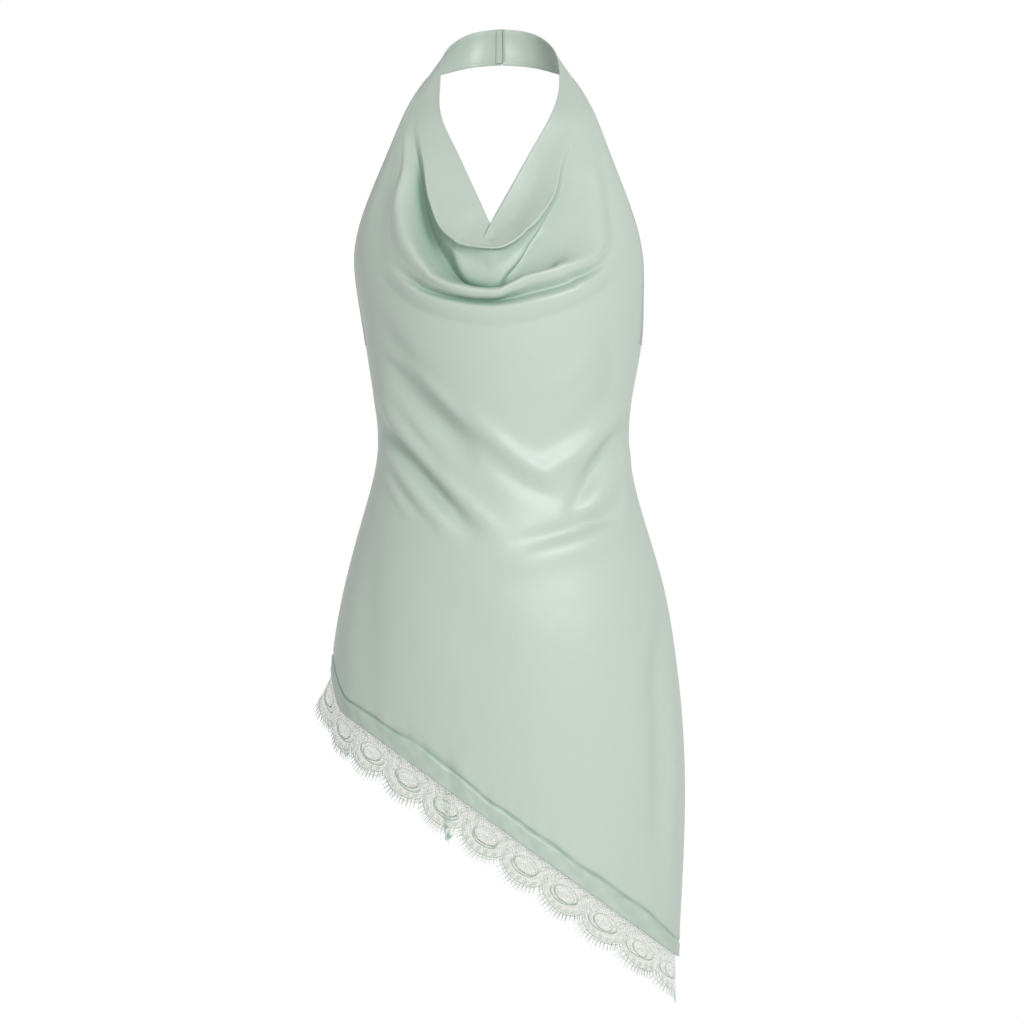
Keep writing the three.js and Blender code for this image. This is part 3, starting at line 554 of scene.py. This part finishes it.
def add(tree, kind, inputs=(), **settings):
    """Adds one node, sets its settings and its inputs; an input that is a socket is linked."""
    node = tree.nodes.new(kind)
    for key, value in settings.items():
        setattr(node, key, value)
    for key, value in dict(inputs).items():
        if isinstance(value, bpy.types.NodeSocket):
            tree.links.new(value, node.inputs[key])
        else:
            node.inputs[key].default_value = value
    return node


def new_material(name):
    material = bpy.data.materials.new(name)
    material.use_nodes = True
    material.node_tree.nodes.clear()
    return material, material.node_tree


# Painted shade: the second colour is painted into the insides of the folds, and the third along the stitch line,
# partly as shade of the hem's groove.
SATIN_HEX, SATIN_FOLD_SHADE_HEX, STITCH_GROOVE_SHADE_HEX = "#8b958d", "#6f8d7d", "#68806f"
NET_HEX, CORD_HEX, LASH_HEX = "#aaaca2", "#6f8476", "#93a197"


def polyester_satin():
    """Polyester satin: long floats give a soft broad gloss. Inside the folds the colour is painted deeper green
    where an occlusion test finds cloth close around: painted shade. Along the stitches a darker line is painted,
    the stitches with painted shade of the groove they pull. Threads 0.25 mm apart are drawn 1.1 mm apart
    so that they show. The crumple is 18 mm and 60 mm wide."""
    material, tree = new_material("polyester_satin_mint")
    place = add(tree, "ShaderNodeTexCoord").outputs["Object"]
    weave = add(tree, "ShaderNodeMapping", {"Vector": place, "Scale": (1 / 0.0011, 1 / 0.0011, 1 / 0.0022)})
    thread = add(tree, "ShaderNodeTexNoise", {"Vector": weave.outputs[0], "Scale": 1.0, "Detail": 1.0})
    soft = add(tree, "ShaderNodeTexNoise", {"Vector": place, "Scale": 1 / 0.06, "Detail": 2.0,
                                            "Roughness": 0.45})
    small = add(tree, "ShaderNodeTexNoise", {"Vector": place, "Scale": 1 / 0.018, "Detail": 2.0,
                                             "Roughness": 0.5})
    bump_soft = add(tree, "ShaderNodeBump", {"Height": soft.outputs["Fac"], "Distance": 0.0025,
                                             "Strength": 0.5})
    bump_small = add(tree, "ShaderNodeBump", {"Height": small.outputs["Fac"], "Distance": 0.0006, "Strength": 0.5,
                                             "Normal": bump_soft.outputs[0]})
    bump = add(tree, "ShaderNodeBump", {"Height": thread.outputs["Fac"], "Distance": 0.00008, "Strength": 0.5,
                                       "Normal": bump_small.outputs[0]})
    # Painted shade: where this occlusion test finds cloth close around, inside the folds, the satin's colour is
    # mixed towards the deep fold colour.
    fold_occlusion = add(tree, "ShaderNodeAmbientOcclusion", {"Distance": 0.06}, samples=8)
    unshaded_share = add(tree, "ShaderNodeMapRange", {"Value": fold_occlusion.outputs["AO"], "From Min": 0.25,
                                               "From Max": 0.95})
    colour = add(tree, "ShaderNodeMix", {0: unshaded_share.outputs[0], 6: linear(SATIN_FOLD_SHADE_HEX), 7: linear(SATIN_HEX)},
                 data_type="RGBA")
    # The stitch line's darker colour is partly painted shade of the hem's groove, and the band below is deeper in
    # patches.
    stitches = add(tree, "ShaderNodeAttribute", attribute_name="stitches").outputs["Fac"]
    sewn = add(tree, "ShaderNodeMix", {0: stitches, 6: colour.outputs[2], 7: linear(STITCH_GROOVE_SHADE_HEX)},
               data_type="RGBA")
    shader = add(tree, "ShaderNodeBsdfPrincipled", {
        "Base Color": sewn.outputs[2], "Roughness": 0.42, "Specular IOR Level": 0.42, "Normal": bump.outputs[0],
    })
    add(tree, "ShaderNodeOutputMaterial", {"Surface": shader.outputs[0]})
    return material


def lace_thread():
    """Raschel lace of matte polyester thread: a cream net, with grey green cords and dense blocks on it.
    The net's meshes of about 1 mm are drawn 2.2 mm apart so that they show."""
    material, tree = new_material("raschel_lace_mint")
    uv = add(tree, "ShaderNodeUVMap", uv_map="cloth").outputs[0]
    dense = add(tree, "ShaderNodeAttribute", attribute_name="dense").outputs["Fac"]
    turned = add(tree, "ShaderNodeMapping", {"Vector": uv, "Rotation": (0, 0, math.radians(45)),
                                             "Scale": (1 / 2.2, 1 / 2.2, 1)})
    cells = add(tree, "ShaderNodeTexVoronoi", {"Vector": turned.outputs[0], "Scale": 1.0, "Randomness": 0.25},
                feature="DISTANCE_TO_EDGE", voronoi_dimensions="2D")
    net = add(tree, "ShaderNodeMapRange", {"Value": cells.outputs["Distance"], "From Min": 0.05, "From Max": 0.16,
                                           "To Min": 0.6, "To Max": 0.14})
    cover = add(tree, "ShaderNodeMath", {0: net.outputs[0], 1: dense}, operation="MAXIMUM")
    colour = add(tree, "ShaderNodeMix", {0: dense, 6: linear(NET_HEX), 7: linear(CORD_HEX)}, data_type="RGBA")
    bump = add(tree, "ShaderNodeBump", {"Height": cover.outputs[0], "Distance": 0.0004, "Strength": 0.6})
    shader = add(tree, "ShaderNodeBsdfPrincipled", {
        "Base Color": colour.outputs[2], "Roughness": 0.75, "Sheen Weight": 0.2, "Alpha": cover.outputs[0],
        "Normal": bump.outputs[0],
    })
    add(tree, "ShaderNodeOutputMaterial", {"Surface": shader.outputs[0]})
    return material


def lash_thread():
    """Matte polyester yarn of the eyelash fringe. Its plies 0.3 mm apart are drawn 0.8 mm apart so that they
    show."""
    material, tree = new_material("polyester_yarn_mint")
    place = add(tree, "ShaderNodeTexCoord").outputs["Object"]
    ply = add(tree, "ShaderNodeTexNoise", {"Vector": place, "Scale": 1 / 0.0008, "Detail": 1.0})
    bump = add(tree, "ShaderNodeBump", {"Height": ply.outputs["Fac"], "Distance": 0.0001, "Strength": 0.6})
    shader = add(tree, "ShaderNodeBsdfPrincipled", {
        "Base Color": linear(LASH_HEX), "Roughness": 0.8, "Sheen Weight": 0.2, "Normal": bump.outputs[0],
    })
    add(tree, "ShaderNodeOutputMaterial", {"Surface": shader.outputs[0]})
    return material


def painted_board(name, hex_colour):
    """Matt white board of the floor."""
    material, tree = new_material(name)
    shader = add(tree, "ShaderNodeBsdfPrincipled", {"Base Color": linear(hex_colour), "Roughness": 0.9})
    add(tree, "ShaderNodeOutputMaterial", {"Surface": shader.outputs[0]})
    return material


# Making the pieces.

HEM_DEPTH = 15


def from_stitches(turn, z):
    """How far a point is above the hem's slightly wavy line of stitches, and how far along the hem it is."""
    slant = mix(0.81, 1.0, np.abs(turn) ** 6)
    along = half_at(z) * np.sin(turn * np.pi / 2) / 0.81
    wave = 1.3 * np.sin(along / 23.0) + 0.7 * np.sin(along / 9.1 + 1.0) + 1.7 * (1 + np.cos((along + 73) / 32))
    return (z - hem_at(turn)) * slant - HEM_DEPTH - wave, along


def sewn_hem(turn, z):
    """A hem turned up for HEM_DEPTH: its band stands 0.7 mm proud, the stitching pulls a groove 3 mm wide above
    it, puckers with several wavelengths spread from the stitches and fade out in 9 mm, and the band is crinkled
    on the slant."""
    away, along = from_stitches(turn, z)
    band = 0.7 * (1 - ease(-1.5, 1.0, away))
    groove = -1.7 * np.exp(-(away / 1.7) ** 2)
    ripple = np.sin(along / 3.1 + 0.8 * np.sin(along / 17)) + 0.8 * np.sin(along / 7.3 + 2)
    pucker = 0.45 * ripple * np.exp(-(away / 9.0) ** 2)
    slanted = np.sin((along + 0.8 * away) / 2.3 + np.sin(along / 13)) + 0.8 * np.sin((along - 0.6 * away) / 4.1)
    crinkle = 0.22 * slanted * (1 - ease(-4, -1, away))
    return band + groove + pucker + crinkle


def stitch_shade_and_band(turn, z):
    """How much darker the satin is painted at a point: a line 2.5 mm wide along the stitches, which is the
    stitches with painted shade of the groove they pull and fades and thickens a little on its way, and the
    doubled band below it, which looks deeper in patches."""
    away, along = from_stitches(turn, z)
    line = np.exp(-(away / 1.6) ** 2) * (0.75 + 0.25 * np.sin(along / 5.3 + 2 * np.sin(along / 31)))
    patches = 0.2 + 0.08 * np.sin(along / 9 + 0.3 * away) + 0.06 * np.sin(along / 3.7 - 0.4 * away)
    return np.maximum(line, patches * (1 - ease(-2, 0, away)))


def front_sewing(place, reach, length, point):
    """The turned edges stand 0.4 mm proud: 2 mm wide along the neckline, and 3 mm at the nape's lower edge."""
    along = np.abs(place)
    neck = (1 - ease(1.4, 2.6, reach)) * ease(0.3, 0.5, along)
    low = (1 - ease(2.2, 3.4, length - reach)) * ease(0.86, 0.92, along)
    return 0.4 * (neck + low)


LAPPED = 1.6


def half_columns():
    """Places from the nape to the middle, closest together where the panel bends most."""
    step = np.linspace(1, 0, 58)
    return np.concatenate([np.linspace(1, COLLAR, 40)[:-1], np.linspace(COLLAR, UNDERARM, 56)[:-1],
                           UNDERARM * step * (0.75 + 0.25 * step ** 2)])


def make_front(satin):
    """The cowl's grid, and the skirt's below it with the same middle columns. The two halves share their middle
    column from the roll down; above it the right one laps the left."""
    half = half_columns()
    half[-1] = 1e-6
    place = np.concatenate([-half, half[::-1]])
    middle = len(half)
    row = np.concatenate([np.linspace(0, LAST_FOLD, 86)[:-1], np.linspace(LAST_FOLD, EDGE, 15)])
    top_points, _, _ = panel(place, row, front_sewing)
    held = fan_along(np.clip(np.abs(place) / UNDERARM, 0, 1))
    near = np.clip(1 - held / 0.165, 0, 1)[:, None, None]
    lap = np.clip(1 - row / LAPPED, 0, 1)[None, :, None]
    shift = np.where(place[:, None, None] < 0, np.array((11, -8, -22.0)), np.array((-10, -20, -22.0)))
    top_points = top_points + shift * near * lap
    share = np.concatenate([np.linspace(0, 0.5, 56), np.linspace(0.5, 0.94, 24)[1:],
                            np.linspace(0.94, 1, 22)[1:]])
    body = np.flatnonzero(np.abs(place) <= UNDERARM + 1e-9)
    low_points = skirt(place[body] / UNDERARM, share)[:, 1:]
    rows, low_rows = len(row), len(share) - 1
    count = len(place) * rows
    number = np.arange(count).reshape(len(place), rows)
    number[middle, row >= LAPPED] = number[middle - 1, row >= LAPPED]
    low_number = count + np.arange(len(body) * low_rows).reshape(len(body), low_rows)
    low_number[middle - body[0]] = low_number[middle - body[0] - 1]
    top_faces = number.ravel()[grid_faces(*number.shape)]
    gap = grid_faces(*number.shape)[:, 0] // rows == middle - 1
    low_grid = np.concatenate([number[body, -1:], low_number], axis=1)
    low_faces = low_grid.ravel()[grid_faces(*low_grid.shape)]
    low_gap = grid_faces(*low_grid.shape)[:, 0] // low_grid.shape[1] == middle - body[0] - 1
    faces = np.concatenate([top_faces[~gap], low_faces[~low_gap]])
    used, faces = np.unique(faces, return_inverse=True)
    points = np.concatenate([top_points.reshape(-1, 3), low_points.reshape(-1, 3)])[used]
    turn = place[body, None] / UNDERARM
    level = mix(yoke_at(turn), hem_at(turn), share[None, 1:])
    # Where the satin is painted darker along the hem: the stitch line, partly as painted shade of its groove, and
    # the band below.
    stitches = np.concatenate([np.zeros(count), stitch_shade_and_band(turn, level).ravel()])[used]
    return add_mesh("satin_front", points, faces.reshape(-1, 4), satin, {"stitches": stitches}, wall=CLOTH_SHOWN)


BACK_SIDE, BACK_DIP = -300, 26


def make_back(satin):
    """The back of the body form between a top edge that dips in the middle and the hem, with soft creases."""
    turn = np.linspace(1, -1, 141)
    top = BACK_SIDE - BACK_DIP * np.cos(turn * np.pi / 2) ** 2
    share = np.concatenate([np.linspace(0, 0.94, 61)[:-1], np.linspace(0.94, 1, 25)])
    level = mix(top[:, None], hem_at(turn)[:, None], share[None])
    points = body_point(turn[:, None], level, True)
    normal = np.cross(np.gradient(points, axis=1), np.gradient(points, axis=0))
    normal /= np.linalg.norm(normal, axis=-1, keepdims=True)
    creases = drag_rise(points[..., 0], points[..., 2], BACK_CREASES) * crease_fade(turn)[:, None]
    rise = sewn_hem(turn[:, None], level) + creases
    points = points + normal * rise[..., None] * np.sign(normal[70, 40, 1])
    # Where the satin is painted darker along the hem: the stitch line, partly as painted shade of its groove, and
    # the band below.
    marks = {"stitches": stitch_shade_and_band(turn[:, None], level)}
    return add_mesh("satin_back", points, grid_faces(*points.shape[:2]), satin, marks, wall=CLOTH_SHOWN)


BINDING_WIDTH = 5


def make_binding(name, side, satin):
    """A flat rounded band along the armhole edge: an oval section carried along the panel's outer edge."""
    place = side * np.linspace(0.998, 0.32, 160)
    edge, out, _ = panel(place, np.array([float(EDGE)]))
    inside, _, _ = panel(place, np.array([float(LAST_FOLD)]))
    edge, out, inside = edge[:, 0], out[:, 0], inside[:, 0]
    across = inside - edge
    reach = np.linalg.norm(across, axis=-1, keepdims=True)
    across /= np.where(reach < 1e-6, 1, reach)
    out = out - across * np.sum(out * across, -1, keepdims=True)
    out /= np.linalg.norm(out, axis=-1, keepdims=True)
    angle = np.linspace(0, 2 * np.pi, 13)[:-1]
    wide = BINDING_WIDTH / 2
    points = (edge[:, None] + across[:, None] * (wide - 0.6 + (wide + 0.6) * np.cos(angle))[None, :, None]
              + out[:, None] * (0.45 + 0.65 * np.sin(angle))[None, :, None])
    count = len(angle)
    c, r = np.meshgrid(np.arange(len(place) - 1), np.arange(count), indexing="ij")
    near, far = c * count + r, (c + 1) * count + r
    step = (r + 1) % count
    faces = np.stack([near, c * count + step, (c + 1) * count + step, far], -1).reshape(-1, 4)
    if side > 0:
        faces = faces[:, ::-1]
    return add_mesh(name, points, faces, satin)


def make_nape(satin):
    """The seam allowance inside the strap at the nape, pressed flat to the left of the seam."""
    place = -(1 - np.linspace(5.5, 0.2, 8) / 27 * 0.07)
    points, out, _ = panel(place, np.linspace(0.1, LAST_FOLD + 0.9, 40))
    return add_mesh("nape_allowance", points - out * 0.8, grid_faces(*points.shape[:2]), satin, wall=0.5)


# The lace.

LACE_REPEATS, LACE_HEADING, LACE_VALLEY, LACE_TIP = 11, 8, 23, 36
LACE_FLARE, LACE_LEFT_FLARE, LACE_PLUMB = 0.06, 0.34, -0.5
LACE_INSET, LACE_WALL, LACE_LEAN = 1.4, 1.0, 0.12
TAIL_REACH, TAIL_EXTRA = 0.045, 12
LASH_LENGTH, LASH_SPACING, LASH_ROOT_HALF, LASH_TIP_HALF = 6.5, 3.6, 0.34, 0.16
MEDALLION_DROP = 17.0


def hem_frame(turn, is_back):
    """The point on the satin's edge at each turn, with the directions along the edge, out of the cloth and
    down it. Down is plumb at the left side seam and square to the hem from the turn LACE_PLUMB on."""
    inside = np.clip(turn, -0.999, 0.999)

    def at(value, dz):
        return body_point(value, hem_at(value) + dz, is_back)

    def unit(way):
        return way / np.linalg.norm(way, axis=-1, keepdims=True)

    along = unit(at(inside + 0.001, 0) - at(inside - 0.001, 0))
    up = unit(at(inside, 1) - at(inside, 0))
    out = unit(np.cross(up, along) if is_back else np.cross(along, up))
    square = np.cross(out, along) if is_back else np.cross(along, out)
    down = unit(mix(-up, square, ease(-1, LACE_PLUMB, turn)[..., None]))
    return at(turn, 0), along, out, down


def hem_turns(is_back):
    """Turn as a function of the share of the hem's length, from the summed length of 400 short steps."""
    turns = np.linspace(-1, 1, 401)
    steps = np.linalg.norm(np.diff(hem_frame(turns, is_back)[0], axis=0), axis=-1)
    length = np.concatenate([[0], np.cumsum(steps)])
    return (lambda share: np.interp(share * length[-1], length, turns)), length[-1]


PLEAT_SHARE, HEM_LENGTH = 0.384, 480


def from_pleat(share, drop):
    """How far a point of the front lace is from the line of its small pleat, which falls plumb from the hem."""
    return (share - PLEAT_SHARE) * HEM_LENGTH - HEM_FALL * drop


def lace_point(share, drop, turn_at, is_back):
    """A point of the lace, drop below the satin's edge and hanging just inside it, with a slight flare and a
    slow flutter that both grow with the drop. The pleat in the front lace stands 2.4 mm proud."""
    share, drop = np.broadcast_arrays(share, drop)
    turn = turn_at(share)
    point, along, out, down = hem_frame(turn, is_back)
    flare = mix(LACE_LEFT_FLARE, LACE_FLARE, ease(-1, -0.7, turn))
    below = np.maximum(drop, 0)
    flutter = (np.sin(share * 31 + 1) + 0.7 * np.sin(share * 67)) * 1.6 * (below / LACE_TIP) ** 1.5
    if not is_back:
        flutter = flutter + 2.4 * np.exp(-(from_pleat(share, drop) / 4) ** 2) * ease(2, 14, drop)
    inside = SATIN_WALL / 2 + LACE_INSET + LACE_WALL / 2 + LACE_LEAN * np.maximum(-drop, 0)
    away = flare * below + flutter - inside
    return point + down * drop[..., None] + out * away[..., None]


def lace_edge(share, is_back=True):
    """The scalloped edge's drop: round lobes between narrow valleys, with a longer tail at the right side
    seam, and at the tip of the pleat in the front lace."""
    part = (share * LACE_REPEATS) % 1
    lobe = np.sin(np.pi * part) ** 0.55
    pleat_tip = 0 if is_back else 11 * np.exp(-((share - PLEAT_SHARE - 0.06) / 0.009) ** 2)
    tail = TAIL_EXTRA * ease(1 - TAIL_REACH, 1, share)
    return LACE_VALLEY + (LACE_TIP - LACE_VALLEY) * lobe + tail + pleat_tip


def ring(distance, width):
    """1 on a line of that width and 0 beside it, with a soft step of half a millimetre."""
    return 1 - ease(width / 2 - 0.25, width / 2 + 0.35, np.abs(distance))


def lace_pattern(share, drop, repeat_mm, is_back):
    """How dense the lace is, from 0 for bare net to 1 for cloth: a corded border with small oblong blocks
    inside it, a flat oval medallion in each scallop with a sprig in it, leaves and a flower between the
    medallions, and a winding stem with buds below the hem."""
    part = (share * LACE_REPEATS) % 1
    u = (part - 0.5) * repeat_mm
    rise = lace_edge(share, is_back) - drop
    border = ring(rise - 0.7, 1.2)
    radius = np.hypot(u / 14.0, (drop - MEDALLION_DROP) / 7.5)
    angle = np.arctan2((drop - MEDALLION_DROP) * 1.9, u)
    low = ease(-3.0, 3.0, drop - MEDALLION_DROP)
    oval = ring((radius - 1) * 9.0, 1.5) * mix(0.6, 0.95, low)
    inner = ring((radius - 0.78) * 9.0, 0.7) * 0.6 * low
    outer = ring((radius - 1.28) * 9.0, 0.7) * 0.55 * low
    blocks = (rise > 2.2) & (rise < 6.6) & (np.sin(u * 0.78 + 0.6) > -0.35) & (radius > 1.36)
    petal_r = np.hypot(u - 4.5, (drop - 15.0) * 1.1)
    petals = ring(petal_r - (2.6 + 1.2 * np.cos(5 * np.arctan2(drop - 15.0, u - 4.5) + 0.6)), 0.9) * 0.6
    sprig = ring(drop - 17.5 - 0.05 * (u + 2) ** 2, 0.9) * ((u > -9) & (u < 3)) * 0.6
    cusp = np.abs(u) - repeat_mm / 2
    flower_r = np.hypot(cusp, (drop - 15.0) * 1.1)
    flower = ring(flower_r - (3.4 + 1.3 * np.cos(6 * np.arctan2(drop - 15.0, cusp))), 1.0) * 0.7
    heart = (1 - ease(0.8, 1.5, flower_r)) * 0.8
    leaf_u, leaf_z = np.abs(u) - 17.0, drop - 9.0
    leaf = ring(np.hypot((leaf_u + 0.5 * leaf_z) / 1.0, (leaf_z - 0.4 * leaf_u) / 2.1) - 2.2, 0.9) * 0.65
    stem = ring(drop - 4.5 - 2.2 * np.sin(u * 2 * np.pi * 3 / repeat_mm + 0.7), 0.9) * 0.6
    buds = np.clip(np.sin(u * 1.35 + 1) * np.sin(drop * 1.5 + 0.5) * 3 - 1.5, 0, 1) * (drop < 11) * 0.6
    lines = [border * 0.8, oval, inner, outer, blocks * 0.5, petals, sprig, flower, heart, leaf, stem, buds]
    return np.clip(np.max(np.stack([np.broadcast_to(line, drop.shape) for line in lines]), axis=0), 0, 1)


def make_lace(name, is_back, lace):
    """A grid along the hem and down the lace, with its pattern held as a value at each point. The lace lies
    three layers thick in the front's pleat, so it is denser there."""
    turn_at, length = hem_turns(is_back)
    share = np.linspace(0, 1, 561)
    down = np.linspace(0, 1, 56)
    drop = mix(-LACE_HEADING, lace_edge(share, is_back)[:, None], down[None])
    share = np.broadcast_to(share[:, None], drop.shape)
    points = lace_point(share, drop, turn_at, is_back)
    dense = lace_pattern(share, drop, length / LACE_REPEATS, is_back)
    if not is_back:
        layers = np.exp(-((from_pleat(share, drop) - 1) / 4.6) ** 4) * ease(0, 4, drop)
        dense = np.clip(dense + 0.55 * layers, 0, 1)
    uv = np.stack([share * length, drop], -1)
    faces = grid_faces(*drop.shape)
    if is_back:
        faces = faces[:, ::-1]
    return add_mesh(name, points, faces, lace, {"dense": dense}, uv)


def make_lashes(name, is_back, thread):
    """Eyelashes: square threads LASH_SPACING apart that stand off the scalloped edge, square to it. They
    taper from LASH_ROOT_HALF to LASH_TIP_HALF."""
    turn_at, length = hem_turns(is_back)
    count = int(length / LASH_SPACING)
    share = (np.arange(count) + 0.5) / count
    rng = np.random.default_rng(7)
    tilt = 0.35 * rng.standard_normal(count) / LASH_SPACING
    slope = lace_edge(share + 0.5 / length, is_back) - lace_edge(share - 0.5 / length, is_back)
    slope = np.clip(slope, -1.6, 1.6)
    reach = LASH_LENGTH * (0.9 + 0.2 * rng.random(count)) / np.hypot(1, slope)
    tip_share = np.clip(share + (-slope + tilt) * reach / length * 0.8, 0, 1)
    edge = lace_edge(share, is_back)
    root = lace_point(share, edge - 0.6, turn_at, is_back)
    tip = lace_point(tip_share, edge + reach, turn_at, is_back)
    _, along, out, _ = hem_frame(turn_at(share), is_back)
    corners = [(-1, -1), (1, -1), (1, 1), (-1, 1)]
    rings = [end[:, None] + half * (along[:, None] * np.array(corners)[None, :, :1]
                                    + out[:, None] * np.array(corners)[None, :, 1:])
             for end, half in ((root, LASH_ROOT_HALF), (tip, LASH_TIP_HALF))]
    points = np.concatenate(rings, axis=1)
    base = np.arange(count)[:, None, None] * 8
    sides = np.array([(0, 1, 5, 4), (1, 2, 6, 5), (2, 3, 7, 6), (3, 0, 4, 7), (3, 2, 1, 0), (4, 5, 6, 7)])
    return add_mesh(name, points, (base + sides).reshape(-1, 4), thread, sharp=True)


def room():
    """A pale floor 1.25 m below the nape, an even white surround, and one soft box on the right."""
    floor = bpy.data.meshes.new("floor")
    size, level = 12.0, -1.25
    corners = [(-size, -size, level), (size, -size, level), (size, size, level), (-size, size, level)]
    floor.from_pydata(corners, [], [(0, 1, 2, 3)])
    board = bpy.data.objects.new("floor", floor)
    floor.materials.append(painted_board("white_board", "#ffffff"))
    bpy.context.scene.collection.objects.link(board)
    world = bpy.data.worlds.new("soft_white")
    world.use_nodes = True
    world.node_tree.nodes["Background"].inputs["Color"].default_value = (1, 1, 1, 1)
    world.node_tree.nodes["Background"].inputs["Strength"].default_value = 1.0
    bpy.context.scene.world = world
    bpy.context.scene.view_settings.view_transform = "Standard"
    light("key", (1.4, -3.2, 1.0), (0, -0.1, -0.4), 1.6, 130)


camera()
room()
satin = polyester_satin()
lace = lace_thread()
front = make_front(satin)
back = make_back(satin)
bindings = [make_binding("binding_left", -1, satin), make_binding("binding_right", 1, satin)]
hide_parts("front_panel")
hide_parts("back_panel")
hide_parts("armhole_binding_left")
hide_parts("armhole_binding_right")
yarn = lash_thread()
laces = [make_lace("lace_trim_front", False, lace), make_lace("lace_trim_back", True, lace)]
lashes = [make_lashes("lashes_front", False, yarn), make_lashes("lashes_back", True, yarn)]
for made, nodes in ((laces, ("lace_front", "lace_back")), (lashes, ("eyelash_front", "eyelash_back"))):
    for piece, node in zip(made, nodes):
        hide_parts(node)
nape = make_nape(satin)
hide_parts("nape_seam")
